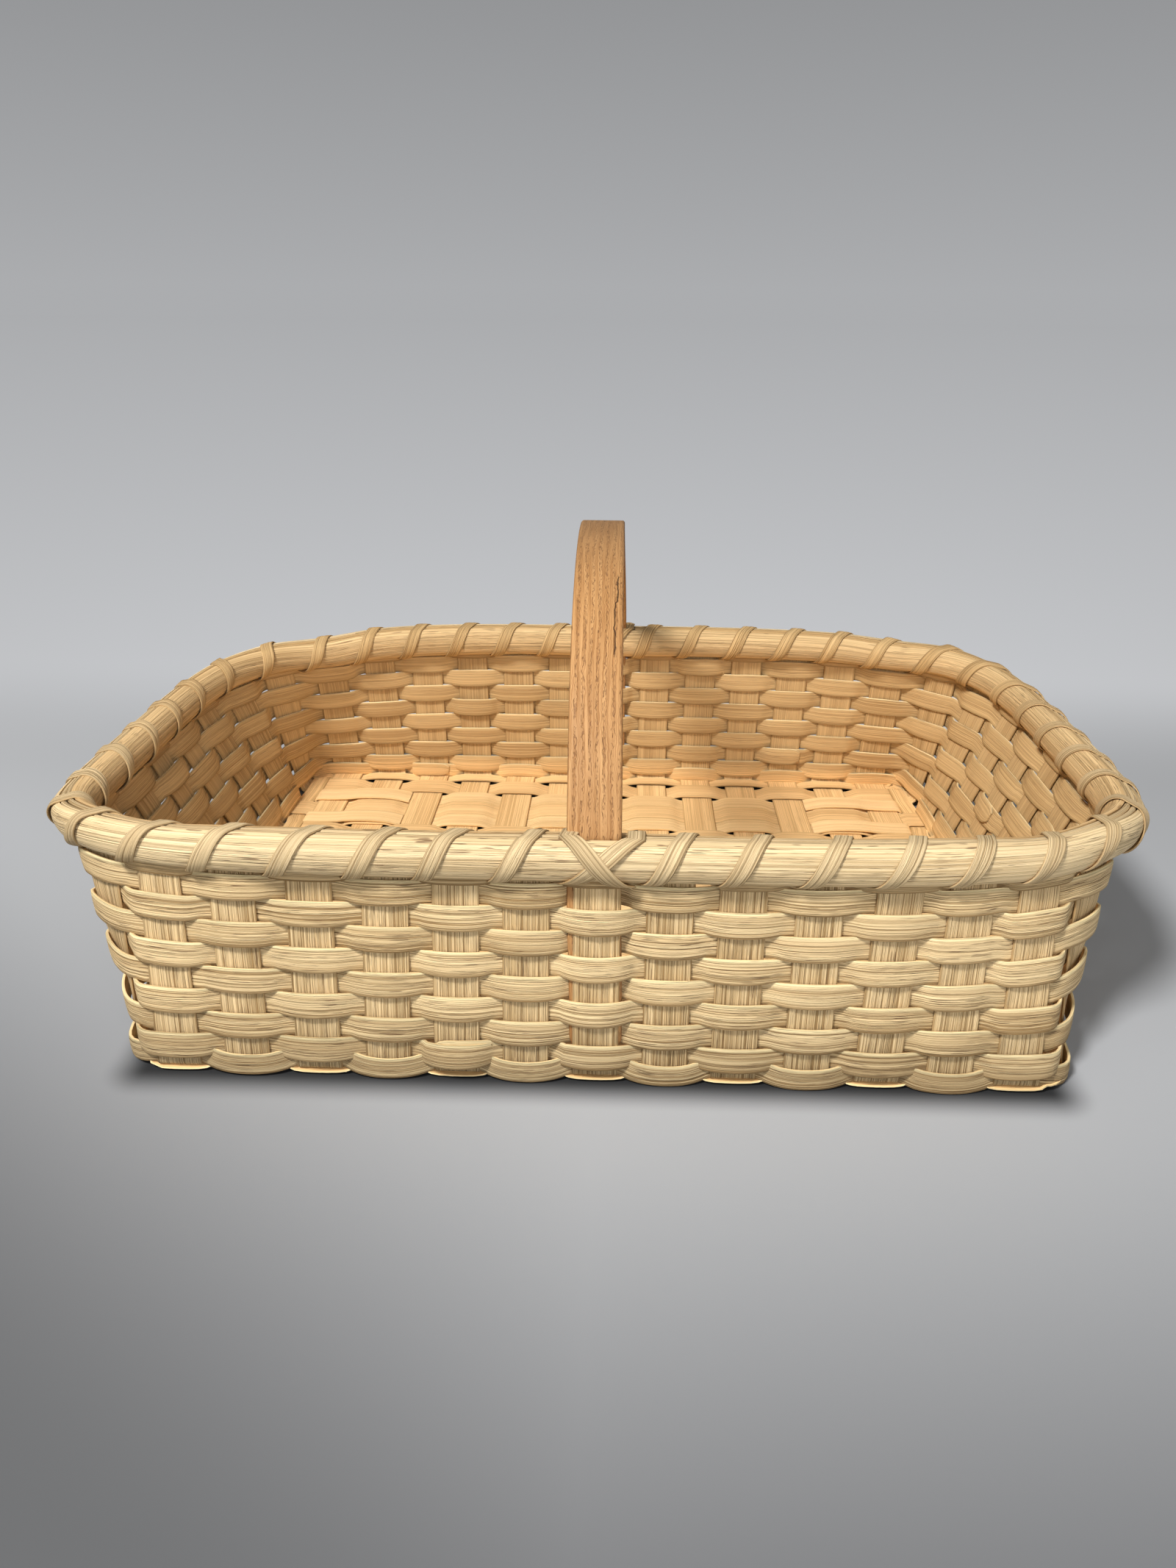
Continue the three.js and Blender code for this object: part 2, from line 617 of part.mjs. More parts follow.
// Where the lashing crosses in front of a leg, a second strip makes the cross. It is tucked between
// the rims above and under the outer rim below.
function makeHandleLash(index) {
  const over = LASHING_THICKNESS + CLEARANCE;
  const top = index - gapBesideHandle;
  const foot = index + gapBesideHandle;
  return lashStrip([
    { place: top, offset: 0, height: RIM_TOP - RIM_HEIGHT / 4 },
    { place: top, offset: LASHING_THICKNESS / 2, height: LASH_TOP },
    { place: top, offset: LASH_CORNER + over, height: LASH_TOP + over / 2 },
    { place: index, offset: LASH_OUTSIDE + over + CLEARANCE, height: RIM_MIDDLE, width: CROSSING_WIDTH },
    { place: foot, offset: LASH_CORNER + over, height: LASHING_LEVEL - over },
    { place: foot, offset: RIM_SEAT + CLEARANCE + LASHING_THICKNESS, height: LASHING_LEVEL - over },
  ]);
}

// The handle: a bent oak strip from tail to tail inside the middle cross stake. Its tails are
// shaved thin, its inner face is notched for the inner rim, and its edges are eased.
function handleSection(centre, normal, width, thickness) {
  const ease = Math.min(HANDLE_EASED_EDGE, thickness / 3);
  const x = width / 2;
  const y = thickness / 2;
  return [
    [-x + ease, y], [x - ease, y], [x, y - ease], [x, ease - y],
    [x - ease, -y], [ease - x, -y], [-x, ease - y], [-x, y - ease],
  ].map(([sideways, out]) => along(along(centre, vector(1, 0, 0), sideways), normal, out));
}

const TIP_STEPS = [0.4, 2.2];
const NOTCH_RAMP = 0.6;

function handleLegStops() {
  const tip = (rise) => HANDLE_WIDTH * Math.sqrt(1 - (1 - rise / HANDLE_TAIL_TIP) ** 2);
  const stops = TIP_STEPS.map((rise) => ({ height: TAIL_END + rise, width: tip(rise) }));
  stops.push({ height: TAIL_END + HANDLE_TAIL_TIP, width: HANDLE_WIDTH });
  stops.push({ height: RIM_BOTTOM - CLEARANCE - NOTCH_RAMP, width: HANDLE_WIDTH });
  stops.push({ height: RIM_BOTTOM - CLEARANCE, width: HANDLE_WIDTH, thickness: NOTCH_THICKNESS });
  stops.push({ height: RIM_TOP + CLEARANCE, width: HANDLE_WIDTH, thickness: NOTCH_THICKNESS });
  stops.push({ height: RIM_TOP + CLEARANCE + NOTCH_RAMP, width: HANDLE_WIDTH });
  return stops;
}

function handleLegSections(stake) {
  const { out } = baseDirections(stake);
  const normal = wallPoint(stake, 0, RIM_MIDDLE, 1).sub(wallPoint(stake, 0, RIM_MIDDLE, 0));
  return handleLegStops().map(({ height, width, thickness = handleThickness(height) }) => {
    const centre = wallPoint(stake, 0, height, -HANDLE_FACE - thickness / 2);
    return handleSection(centre, normal.dot(out) > 0 ? normal : out, width, thickness);
  });
}

const ARCH_STEPS = 18;
const ARCH_BLEND = 0.07;

function archSections() {
  const seat = wallPoint(stakeAt(BACK_HANDLE_STAKE), 0, RIM_TOP, -HANDLE_FACE);
  const halfHeight = HANDLE_APEX - HANDLE_ARCH_CENTRE;
  const seatAngle = Math.asin((seat.z - HANDLE_ARCH_CENTRE) / halfHeight);
  const halfSpan = seat.y / Math.cos(seatAngle);
  const sections = [];
  const firstAngle = seatAngle + ARCH_BLEND;
  for (let i = 0; i <= ARCH_STEPS; i += 1) {
    const angle = mix(Math.PI - firstAngle, firstAngle, i / ARCH_STEPS);
    const level = HANDLE_ARCH_CENTRE + halfHeight * Math.sin(angle);
    const surface = vector(0, halfSpan * Math.cos(angle), level);
    const normal = vector(0, Math.cos(angle) / halfSpan, Math.sin(angle) / halfHeight).normalize();
    sections.push(handleSection(along(surface, normal, -HANDLE_THICKNESS / 2), normal,
      HANDLE_WIDTH, HANDLE_THICKNESS));
  }
  return sections;
}

function makeHandle() {
  const front = handleLegSections(stakeAt(FRONT_HANDLE_STAKE));
  const back = handleLegSections(stakeAt(BACK_HANDLE_STAKE));
  return loft([...front, ...archSections(), ...back.reverse()]);
}

for (let n = 0; n < CROSS_STAKES; n += 1) {
  addPiece(`cross_stake_${twoDigits(n + 1)}`, makeCrossStake(n), stakeReed);
}
for (let n = 0; n < LONG_STAKES; n += 1) {
  addPiece(`long_stake_${n + 1}`, makeLongStake(n - LONG_REACH), stakeReed);
}
for (let n = 0; n < LONG_STAKES - 1; n += 1) {
  addPiece(`base_filler_${n + 1}`, makeFiller(LONG_PITCH * (n + 0.5 - LONG_REACH)), fillerReed);
}
for (let row = 0; row <= WALL_ROWS; row += 1) {
  addPiece(`weaver_row_${twoDigits(row)}`, makeWallRow(row), weaverReed);
}
addPiece(`weaver_row_${twoDigits(WALL_ROWS + 1)}`, makeEdgeRow(), weaverReed);
addPiece('outer_rim', makeRim(1), rimReed);
addPiece('inner_rim', makeRim(-1), rimReed);

const strandInset = (HANDLE_EDGE + LASHING_WIDTH + STRAND_INSET) / CROSS_PITCH_AT_RIM;
const strandOffset = STRAND_SIZE / 2 + CLEARANCE / 2;
for (const [end, from, to] of [
  ['right', FRONT_HANDLE_STAKE, BACK_HANDLE_STAKE],
  ['left', BACK_HANDLE_STAKE, FRONT_HANDLE_STAKE + STAKE_COUNT],
]) {
  for (const [side, offset] of [['outer', strandOffset], ['inner', -strandOffset]]) {
    const strand = makeStrand(from + strandInset, to - strandInset, offset);
    addPiece(`rim_strand_${end}_${side}`, strand, lashingReed);
  }
}
addPiece('rim_lashing', makeLashing(), lashingReed);
addPiece('handle_lash_front', makeHandleLash(FRONT_HANDLE_STAKE), lashingReed);
addPiece('handle_lash_back', makeHandleLash(BACK_HANDLE_STAKE), lashingReed);
addPiece('handle', makeHandle(), oak);

export default basket;
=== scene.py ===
import math

import bmesh
import bpy
from bpy.props import FloatProperty, FloatVectorProperty, PointerProperty
from mathutils import Matrix, Vector, noise


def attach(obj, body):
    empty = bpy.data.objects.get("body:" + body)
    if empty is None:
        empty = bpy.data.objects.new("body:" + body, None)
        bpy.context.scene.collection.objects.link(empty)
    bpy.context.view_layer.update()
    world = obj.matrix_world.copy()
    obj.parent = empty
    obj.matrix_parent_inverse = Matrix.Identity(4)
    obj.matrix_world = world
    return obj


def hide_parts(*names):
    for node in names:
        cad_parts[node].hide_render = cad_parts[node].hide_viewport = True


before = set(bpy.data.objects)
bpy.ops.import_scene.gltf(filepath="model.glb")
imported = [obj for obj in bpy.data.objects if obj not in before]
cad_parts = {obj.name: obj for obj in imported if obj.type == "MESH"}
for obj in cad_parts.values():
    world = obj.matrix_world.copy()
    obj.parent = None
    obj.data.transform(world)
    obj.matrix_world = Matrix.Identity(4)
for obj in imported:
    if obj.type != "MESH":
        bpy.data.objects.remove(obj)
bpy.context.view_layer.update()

bl_info = {
    "name": "Gathering Basket",
    "version": (1, 0, 0),
    "blender": (4, 5, 0),
    "location": "View3D > Sidebar > Basket",
    "description": "Weaves a reed gathering basket with a lashed rim and a bent oak handle",
    "category": "Add Mesh",
}

BODY = "root"
UP = Vector((0, 0, 1))
ALONG = Vector((1, 0, 0))
ACROSS = Vector((0, 1, 0))


def count_nodes(start):
    return sum(name.startswith(start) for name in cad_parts)


CROSS_STAKES = count_nodes("cross_stake_")
LONG_STAKES = count_nodes("long_stake_")
FILLERS = count_nodes("base_filler_")
EDGE_ROW = count_nodes("weaver_row_") - 1
WALL_ROWS = EDGE_ROW - 1
STAKE_COUNT = 2 * (CROSS_STAKES + LONG_STAKES)
CROSS_REACH = CROSS_STAKES // 2
LONG_REACH = LONG_STAKES // 2

# Wall stakes are numbered counter-clockwise from the left end of the front wall. A place round the
# rim is a number of the same kind, with a fraction between two stakes.
FIRST_RIGHT = CROSS_STAKES
FIRST_BACK = CROSS_STAKES + LONG_STAKES
FIRST_LEFT = FIRST_BACK + CROSS_STAKES
FRONT_LEG = CROSS_REACH
BACK_LEG = FIRST_BACK + CROSS_REACH
CORNER_STAKES = (FIRST_RIGHT, FIRST_BACK - 1, FIRST_LEFT, STAKE_COUNT - 1)

# The places where the rims bend hardest, and the share by which each bend presses them thinner.
RIM_BENDS = ((FIRST_RIGHT - 0.2, 0.3), (FIRST_BACK - 0.6, 0.12), (FIRST_LEFT - 0.4, 0.12),
             (STAKE_COUNT - 0.8, 0.3))
BEND_REACH = 2.6

# Unevenness judged against the photo, in millimetres: how far the front stakes stand off
# their even places at the rim and at the fold, and how far the last stakes arch outwards.
RIM_DRIFT = (-3.0, -1.5, 1.2, 3.0, 2.0, 1.1, 0, 0, -0.3, 1.1, 3.6, 3.6, 3.0)
FOLD_DRIFT = (-0.6, -0.3, 0.7, 0.8, 0.5, 0, 0, -0.3, -0.8, 0.2, 0.5, 1.0, 0.2)
CORNER_ARCH = {STAKE_COUNT - 2: 0.7, STAKE_COUNT - 1: 2.2}

# How far the front wraps of the lashing stand past their gaps, in stakes.
LASH_DRIFT = {0: 0.08, 1: 0.06, 2: 0.05, 3: 0.0, 4: 0.06, 6: 0.13, 7: 0.2, 8: 0.23, 9: 0.17,
              10: 0.12, 11: 0.17}

# The stake where each row starts, and how many stakes a wall row laps over its own start.
ROW_STARTS = (8, 25, 38, 16, 30, 18, 40, 24, 4, 32)
EDGE_ROW_START = 19
OVERLAP = 2

# A filler's tail back over the base: how far from its fold, in cross stakes, and how high, in layers.
FILLER_TAIL = ((0, 1.15), (0.36, 1.5), (0.5, 1.9), (0.66, 2.1), (1, 2.2), (1.3, 1.9), (1.5, 1.2))
FILLER_TAIL_END = 1.66

# Where stakes and base strips leave the edge of the base, how far they sway from layer to layer, and
# how far a leg of the handle pushes its stake outwards.
BASE_INSET = 0.006
LONG_BASE_INSET = 0.0095
WALL_SWAY = 0.00018
BASE_SWAY = 0.00012
LEG_PUSH = 0.0017

# How a weaver passes the stakes: its bow in the hidden row, the bow of an inside pass as a share of
# an outside one, its room at the handle's legs, the shift of two laps, and its width as a share.
HIDDEN_BOW = 0.0015
INSIDE_BOW = 0.7
ROOM_OUTSIDE_LEG = 0.0028
ROOM_INSIDE_LEG = 0.0017
LAP_SHIFT = 0.0005
CURL_OUTSIDE = -0.0011
CURL_INSIDE = 0.002
CROSSING_WIDTH = 0.94
OUTSIDE_WIDTH = 1.05
INSIDE_WIDTH = 1.06
WEAVER_EDGE = 0.00165

# Insets of the row on the base's edge where it passes under and over a stake.
UNDER_INSET = 0.0001
OVER_INSET = 0.0026

# Round the rim, in stakes: where the ends of the rims lie, where the strands start beyond a leg, how
# far a wrap of the lashing slants, and where the second strip of a cross starts and ends at a leg.
# The strands' offset from the wall's middle is in metres.
OUTER_RIM_END = 33.4
INNER_RIM_END = 8.3
STRAND_START = 0.55
LASH_SLANT = 0.44
CROSS_TOP = 0.42
CROSS_FOOT = 0.43
STRAND_OFFSET = 0.00145

# The bend between base and wall, and the steps that strips are cut into.
BEND_RUN = 0.0034
BEND_STEPS = 6
WALL_STEPS = 40
BASE_STEPS = 60
SIDE_STEPS = 8
GAP_STEPS = 6
SMOOTH_ANGLE = math.radians(42)
OAK_SMOOTH_ANGLE = math.radians(50)
FLOOR_DROP = 0.0004


def length(name, description, default):
    return FloatProperty(name=name, description=description, default=default, unit="LENGTH", precision=5)


def tone(name, description, default):
    return FloatVectorProperty(
        name=name, description=description, default=default, subtype="COLOR", min=0, max=1)


def amount(name, description, default):
    return FloatProperty(name=name, description=description, default=default)


def power(name, default):
    return amount(name, "Squareness of this corner of the rim", default)


class ReedSizes(bpy.types.PropertyGroup):
    stake_width: length("Stake width", "Width of the flat strips that make the frame", 0.019)
    stake_thickness: length("Stake thickness", "Thickness of the stakes", 0.0012)
    weaver_width: length("Weaver width", "Width of the strips woven round the walls", 0.0108)
    weaver_thickness: length("Weaver thickness", "Thickness of a weaver at its crown", 0.0016)
    filler_width: length("Filler width", "Width of the strips between the long stakes", 0.0154)
    lashing_width: length("Lashing width", "Width of the strip that binds the rims", 0.0072)
    lashing_thickness: length("Lashing thickness", "Thickness of the lashing", 0.0009)
    strand_size: length("Strand size", "Size of the strands between the rims", 0.0026)
    clearance: length("Clearance", "Play between strips that touch", 0.0003)


class BasketSizes(bpy.types.PropertyGroup):
    cross_pitch: length("Cross pitch", "Distance between cross stakes on the base", 0.0292)
    long_pitch: length("Long pitch", "Distance between long stakes on the base", 0.035)
    layer_step: length("Layer step", "Rise from one layer of the base to the next", 0.0015)
    edge_band: length("Edge band", "From the outermost stake's side to the fold", 0.0137)
    top_row: length("Top row", "Height of the middle of the highest weaver that shows", 0.0824)
    row_pitch: length("Row pitch", "Height from one weaver to the next", 0.0103)
    lowest_row: length("Lowest row", "Height of the middle of the weaver at the fold", 0.0036)
    tilt: length("Tilt", "How much lower the rows run at the right of the front wall", 0.0007)
    bow: length("Weaver bow", "How far a weaver stands out from the middle of the wall", 0.0027)
    corner_bow: length("Corner bow", "How much further the rows stand out at the corners", 0.0012)
    rim_length: length("Rim length", "Length of the wall's top, between the rims", 0.472)
    rim_width: length("Rim width", "Width of the wall's top, between the rims", 0.3104)
    front_left: power("Front left corner", 5.6)
    front_right: power("Front right corner", 4.2)
    back_left: power("Back left corner", 3.2)
    back_right: power("Back right corner", 3.9)
    cross_pitch_at_rim: length("Cross pitch at rim", "Distance between cross stakes at the rim", 0.0293)
    rim_height: length("Rim height", "Height of the half round rims", 0.017)
    rim_thickness: length("Rim thickness", "Thickness of the half round rims", 0.0072)
    rim_bottom: length("Rim bottom", "Height of the rims' lower edge up the wall", 0.09015)
    rim_seat: length("Rim seat", "From the middle of the wall to the rims' flat sides", 0.003)


class HandleSizes(bpy.types.PropertyGroup):
    width: length("Handle width", "Width of the oak strip", 0.0218)
    thickness: length("Handle thickness", "Thickness of the oak strip", 0.0052)
    tail_thickness: length("Tail thickness", "Thickness of the shaved tails", 0.0026)
    notch: length("Notch", "Depth of the notch for the inner rim", 0.0019)
    apex: length("Apex", "Height of the handle's top", 0.2012)
    arch_centre: length("Arch centre", "Height of the centre of the handle's arch", 0.06)
    tail_end: length("Tail end", "Height of the tails' ends up the wall", 0.01215)
    front_lean: length("Front lean", "How far the handle leans to the left at the front rim", 0.0016)
    top_lean: length("Top lean", "How far the handle leans to the left at its top", 0.0028)
    back_lean: length("Back lean", "How far the handle leans to the left at the back rim", 0.0004)


class Finish(bpy.types.PropertyGroup):
    weaver: tone("Weaver", "Reed of the weavers", (0.74, 0.54, 0.29))
    stake: tone("Stake", "Reed of the stakes", (0.71, 0.52, 0.28))
    # The fillers' tone holds painted light: it is set paler, as the base lies in full light.
    filler: tone("Filler", "Reed of the base fillers", (0.86, 0.66, 0.375))
    rim: tone("Rim", "Reed of the outer rim", (0.75, 0.57, 0.325))
    # Painted shade: the inner rim is the rim's reed in a darker, warmer tone, as it is seen from the
    # basket's shaded inside.
    inner_rim: tone("Inner rim", "Reed of the inner rim", (0.66, 0.445, 0.217))
    lashing: tone("Lashing", "Reed of the lashing", (0.67, 0.5, 0.28))
    fibre: tone("Fibre", "Dark fibres in the reed", (0.13, 0.06, 0.022))
    oak: tone("Oak", "Oak of the handle", (0.5, 0.272, 0.108))
    oak_dark: tone("Oak pores", "Dark pores in the oak", (0.2, 0.085, 0.034))


class StageLook(bpy.types.PropertyGroup):
    floor: tone("Floor", "Colour of the floor and backdrop", (0.4, 0.413, 0.436))
    near_shade: amount("Near shade", "Tone of the floor near the camera", 0.25)
    distance_tint: tone("Distance", "Tint of the background that the camera sees", (0.975, 0.99, 1.02))
    # Painted contact shadow: the floor's dark patch under the basket.
    contact_shadow_length: length("Foot length", "Length of the floor's dark patch under the basket", 0.38)
    contact_shadow_width: length("Foot width", "Width of the floor's dark patch under the basket", 0.326)
    contact_shadow_tone: amount("Foot shade", "Tone of the floor under the basket", 0.06)
    camera_height: length("Camera height", "Height of the camera above the floor", 0.30777)
    key_power: amount("Key power", "Power of the large soft lamp", 41.5)
    fill_power: amount("Fill power", "Power of the fill lamp", 12.5)
    sky: amount("Sky", "Strength of the light from all round", 0.24)


def smooth(t):
    t = min(1, max(0, t))
    return t * t * (3 - 2 * t)


def mix(a, b, t):
    return a + (b - a) * t


def ring_distance(place, other):
    """Stakes between two places, the short way round."""
    return abs((place - other + STAKE_COUNT / 2) % STAKE_COUNT - STAKE_COUNT / 2)


def spline(a, b, c, d, t):
    """A point between b and c on a smooth curve through four points."""
    return (b + (c - a) * (t / 2) + (a * 2 - b * 5 + c * 4 - d) * (t * t / 2)
            + (b * 3 - a - c * 3 + d) * (t ** 3 / 2))


def wobble(x, y=0.0, z=0.0):
    """Smooth noise from -1 to 1."""
    return noise.noise(Vector((x + 0.37, y + 7.13, z + 3.71)))


class WallStake:
    """The line that a stake follows up the wall, from its fold at the base."""

    def __init__(self, fold, heading, rim, rim_heading, rim_middle, arch):
        self.fold = fold
        self.arch = arch
        self.heading = heading
        self.rim_middle = rim_middle
        run = math.hypot(rim.x - fold.x, rim.y - fold.y)
        rise = math.sqrt(rim_middle ** 2 - run ** 2)
        self.slope = Vector((rim.x - fold.x, rim.y - fold.y, rise)).normalized()
        twist = rim_heading - heading
        self.turn = twist - 2 * math.pi * round(twist / (2 * math.pi))

    def side(self, height):
        t = min(1, max(0, height / self.rim_middle))
        heading = self.heading + self.turn * (1 - (1 - t) ** 2)
        return Vector((math.cos(heading), math.sin(heading), 0))

    def out(self, height):
        return self.side(height).cross(self.slope).normalized()

    def point(self, sideways, height, offset=0.0):
        arch = self.arch * math.sin(math.pi * min(1, max(0, height / self.rim_middle)))
        return (self.fold + self.slope * height + self.side(height) * sideways
                + self.out(height) * (offset + arch))


class Form:
    """The basket's form, worked out from the sizes in the panel, in metres."""

    def __init__(self, scene):
        self.reed = scene.basket_reed
        self.size = scene.basket_size
        self.handle = scene.basket_handle
        size = self.size
        self.base_level = size.layer_step + self.reed.stake_thickness / 2
        self.edge = self.reed.stake_width / 2 + self.reed.clearance
        self.seat = self.reed.stake_thickness / 2 + self.reed.clearance
        self.half_length = CROSS_REACH * size.cross_pitch + self.reed.stake_width / 2 + size.edge_band
        self.half_width = LONG_REACH * size.long_pitch + self.reed.stake_width / 2 + size.edge_band
        self.rim_half_length = size.rim_length / 2
        self.rim_half_width = size.rim_width / 2
        self.rim_top = size.rim_bottom + size.rim_height
        self.rim_middle = (size.rim_bottom + self.rim_top) / 2
        self.stake_top = self.rim_top - 0.004
        self.stakes = self.make_stakes()
        self.rim_lines = (
            [stake.point(0, self.rim_middle) for stake in self.stakes],
            [stake.out(self.rim_middle) for stake in self.stakes],
            [stake.slope for stake in self.stakes],
        )

    def squareness(self, x, y):
        size = self.size
        if y < 0:
            return size.front_left if x < 0 else size.front_right
        return size.back_left if x < 0 else size.back_right

    def rim_across(self, x, side):
        power = self.squareness(x, side)
        return side * self.rim_half_width * (1 - (abs(x) / self.rim_half_length) ** power) ** (1 / power)

    def rim_heading(self, point):
        power = self.squareness(point.x, point.y) - 1
        steep_x = (abs(point.x) / self.rim_half_length) ** power / self.rim_half_length
        steep_y = (abs(point.y) / self.rim_half_width) ** power / self.rim_half_width
        return math.atan2(math.copysign(steep_x, point.x), -math.copysign(steep_y, point.y))

    def end_points(self, end):
        """Points spaced evenly round one end of the rim, between its outermost cross stakes."""
        x = end * CROSS_REACH * self.size.cross_pitch_at_rim
        first = math.atan2(end * self.rim_across(x, -end), end * x)
        last = math.atan2(end * self.rim_across(x, end), end * x)
        steps = 2000
        path = []
        for i in range(steps + 1):
            bearing = mix(first, last, i / steps)
            ray = Vector((end * math.cos(bearing), end * math.sin(bearing)))
            power = self.squareness(ray.x, ray.y)
            reach = abs(ray.x / self.rim_half_length) ** power + abs(ray.y / self.rim_half_width) ** power
            path.append(ray * reach ** (-1 / power))
        lengths = [0.0]
        for before, here in zip(path, path[1:]):
            lengths.append(lengths[-1] + (here - before).length)
        points = []
        i = 0
        for n in range(1, LONG_STAKES + 1):
            while lengths[i] < lengths[-1] * n / (LONG_STAKES + 1):
                i += 1
            points.append(path[i])
        return points

    def add_stake(self, stakes, x, y, heading, rim):
        arch = CORNER_ARCH.get(len(stakes), 0) / 1000
        fold = Vector((x, y, self.base_level))
        stakes.append(WallStake(fold, heading, rim, self.rim_heading(rim), self.rim_middle, arch))

    def make_stakes(self):
        size = self.size
        stakes = []
        for side in (1, -1):
            facing = 0 if side > 0 else math.pi
            ends = self.end_points(side)
            for n in range(-CROSS_REACH, CROSS_REACH + 1):
                x = side * size.cross_pitch_at_rim * n
                foot = side * size.cross_pitch * n
                if side > 0:
                    x += RIM_DRIFT[n + CROSS_REACH] / 1000
                    foot += FOLD_DRIFT[n + CROSS_REACH] / 1000
                rim = Vector((x, self.rim_across(x, -side)))
                self.add_stake(stakes, foot, -side * self.half_width, facing, rim)
            for n in range(LONG_STAKES):
                y = side * size.long_pitch * (n - LONG_REACH)
                self.add_stake(stakes, side * self.half_length, y, facing + math.pi / 2, ends[n])
        return stakes

    def stake(self, index):
        return self.stakes[index % STAKE_COUNT]

    def push(self, index, height):
        """How far the handle's legs push their own stakes outwards."""
        if index % STAKE_COUNT not in (FRONT_LEG, BACK_LEG):
            return 0.0
        rise = smooth((height - 0.006) / 0.02)
        fall = 1 - 0.6 * smooth((height - 0.075) / 0.012)
        return LEG_PUSH * rise * fall

    def gap(self, index, t, height):
        """A point on the middle of the wall between two stakes, with its outward and up directions."""
        here, there = self.stake(index), self.stake(index + 1)
        a, b = here.point(self.edge, height), there.point(-self.edge, height)
        reach = (b - a).length * 1.1
        ta, tb = here.side(height) * reach, there.side(height) * reach
        t2, t3 = t * t, t * t * t
        point = (a * (2 * t3 - 3 * t2 + 1) + ta * (t3 - 2 * t2 + t)
                 + b * (3 * t2 - 2 * t3) + tb * (t3 - t2))
        out = here.out(height).lerp(there.out(height), t).normalized()
        up = here.slope.lerp(there.slope, t).normalized()
        return point, out, up

    def row_height(self, row):
        """Height of the middle of a weaver row up the wall."""
        if row == 0:
            return self.size.rim_bottom + 0.0012
        if row == WALL_ROWS:
            return self.size.lowest_row
        return self.size.top_row - (row - 1) * self.size.row_pitch

    def slim(self, place):
        """How slim the rims are at a place: hard bends press them thinner."""
        return 1 - max(share * (1 - smooth(ring_distance(place, bend) / BEND_REACH))
                       for bend, share in RIM_BENDS)

    def rim_frame(self, place):
        """The wall's top at a place round the rim: point, outward and up directions."""
        i = math.floor(place)
        near = [(i + k) % STAKE_COUNT for k in (-1, 0, 1, 2)]
        point, out, up = (spline(*(line[k] for k in near), place - i) for line in self.rim_lines)
        return point, out.normalized(), up.normalized()


def passes_outside(row, index):
    return (row + index) % 2 == 0


class Station:
    """One section of a strip: its centre, width and crown directions, and size or own profile."""

    def __init__(self, centre, width_way, crown_way, scale=1.0, depth=1.0, profile=None):
        self.centre = centre
        self.width_way = width_way
        self.crown_way = crown_way
        self.scale = scale
        self.depth = depth
        self.profile = profile


def square_up(centres, width_ways):
    """Stations whose sections stand square to the path through the centres."""
    stations = []
    last = len(centres) - 1
    for i, centre in enumerate(centres):
        heading = (centres[min(i + 1, last)] - centres[max(i - 1, 0)]).normalized()
        width_way = (width_ways[i] - heading * width_ways[i].dot(heading)).normalized()
        stations.append(Station(centre, width_way, heading.cross(width_way)))
    return stations


# A profile is a list of (across, rise, face) points. Face is 1 on the crowned side and 0 behind it.


def crowned(width, steps, rise_at):
    """The crowned side of a profile, with its rise at an angle from 0 to pi."""
    angles = [math.pi * k / steps for k in range(steps + 1)]
    return [(-width / 2 * math.cos(angle), rise_at(angle), 1.0) for angle in angles]


def oval(width, thickness, edge_thickness, steps=8):
    """Profile of flat oval reed: crowned on the outside, flat on the inside, with soft edges."""
    edge = edge_thickness * 0.75
    low = -thickness / 2
    top = crowned(width, steps, lambda angle: low + (edge + (thickness - edge) * math.sin(angle) ** 0.8))
    back = low + edge_thickness * 0.1
    return top + [(width / 2 * share, rise, 0.0) for share, rise in (
        (0.97, back), (0.5, low), (0.0, low), (-0.5, low), (-0.97, back))]


def flat(width, thickness):
    """Profile of flat reed with eased edges."""
    ease = thickness * 0.28
    half, up = width / 2, thickness / 2
    top = [(-half, up - ease, 1.0), (-half + ease, up, 1.0), (-half / 2, up, 1.0), (0.0, up, 1.0),
           (half / 2, up, 1.0), (half - ease, up, 1.0), (half, up - ease, 1.0)]
    return top + [(-across, -rise, 0.0) for across, rise, _ in top]


def half_round(height, thickness, steps=14):
    """Profile of half round reed, flat side towards the wall, from the seat outwards."""
    top = crowned(height, steps, lambda angle: thickness * math.sin(angle) ** 0.92)
    return top + [(height / 4, 0.0, 0.0), (-height / 4, 0.0, 0.0)]


def ribbed(width, thickness, ribs=4, steps=16):
    """Profile of the lashing: flat oval reed whose outside is ribbed by its fibres."""
    low = -thickness / 2

    def rise_at(angle):
        crown = thickness * (0.35 + 0.65 * math.sin(angle) ** 0.6)
        groove = 0.00011 * (1 - math.cos(2 * ribs * angle)) / 2 * math.sin(angle) ** 0.3
        return low + crown + groove

    top = crowned(width, steps, rise_at)
    return top + [(width / 2 * share, low, 0.0) for share in (0.96, 0.0, -0.96)]


def rounded(width, thickness, ease, steps=3):
    """Profile of a strip with rounded corners and a slightly crowned face."""
    points = []
    for cx, cy, start in ((1, 1, 0.5), (1, -1, 0.0), (-1, -1, -0.5), (-1, 1, 1.0)):
        for k in range(steps + 1):
            angle = math.pi * (start - 0.5 * k / steps)
            points.append((cx * (width / 2 - ease) + ease * math.cos(angle),
                           cy * (thickness / 2 - ease) + ease * math.sin(angle),
                           1.0 if cy > 0 else 0.0))
    return points


# Where the oak is painted darker, as shade at the top of the arch, and where it is cracked: lengths
# from the front tail's tip, and a distance from the strip's middle.
TOP_SHADE_ALONG = 0.292
CRACK_ALONG = 0.196
CRACK_ACROSS = 0.0083

MATERIALS = {}


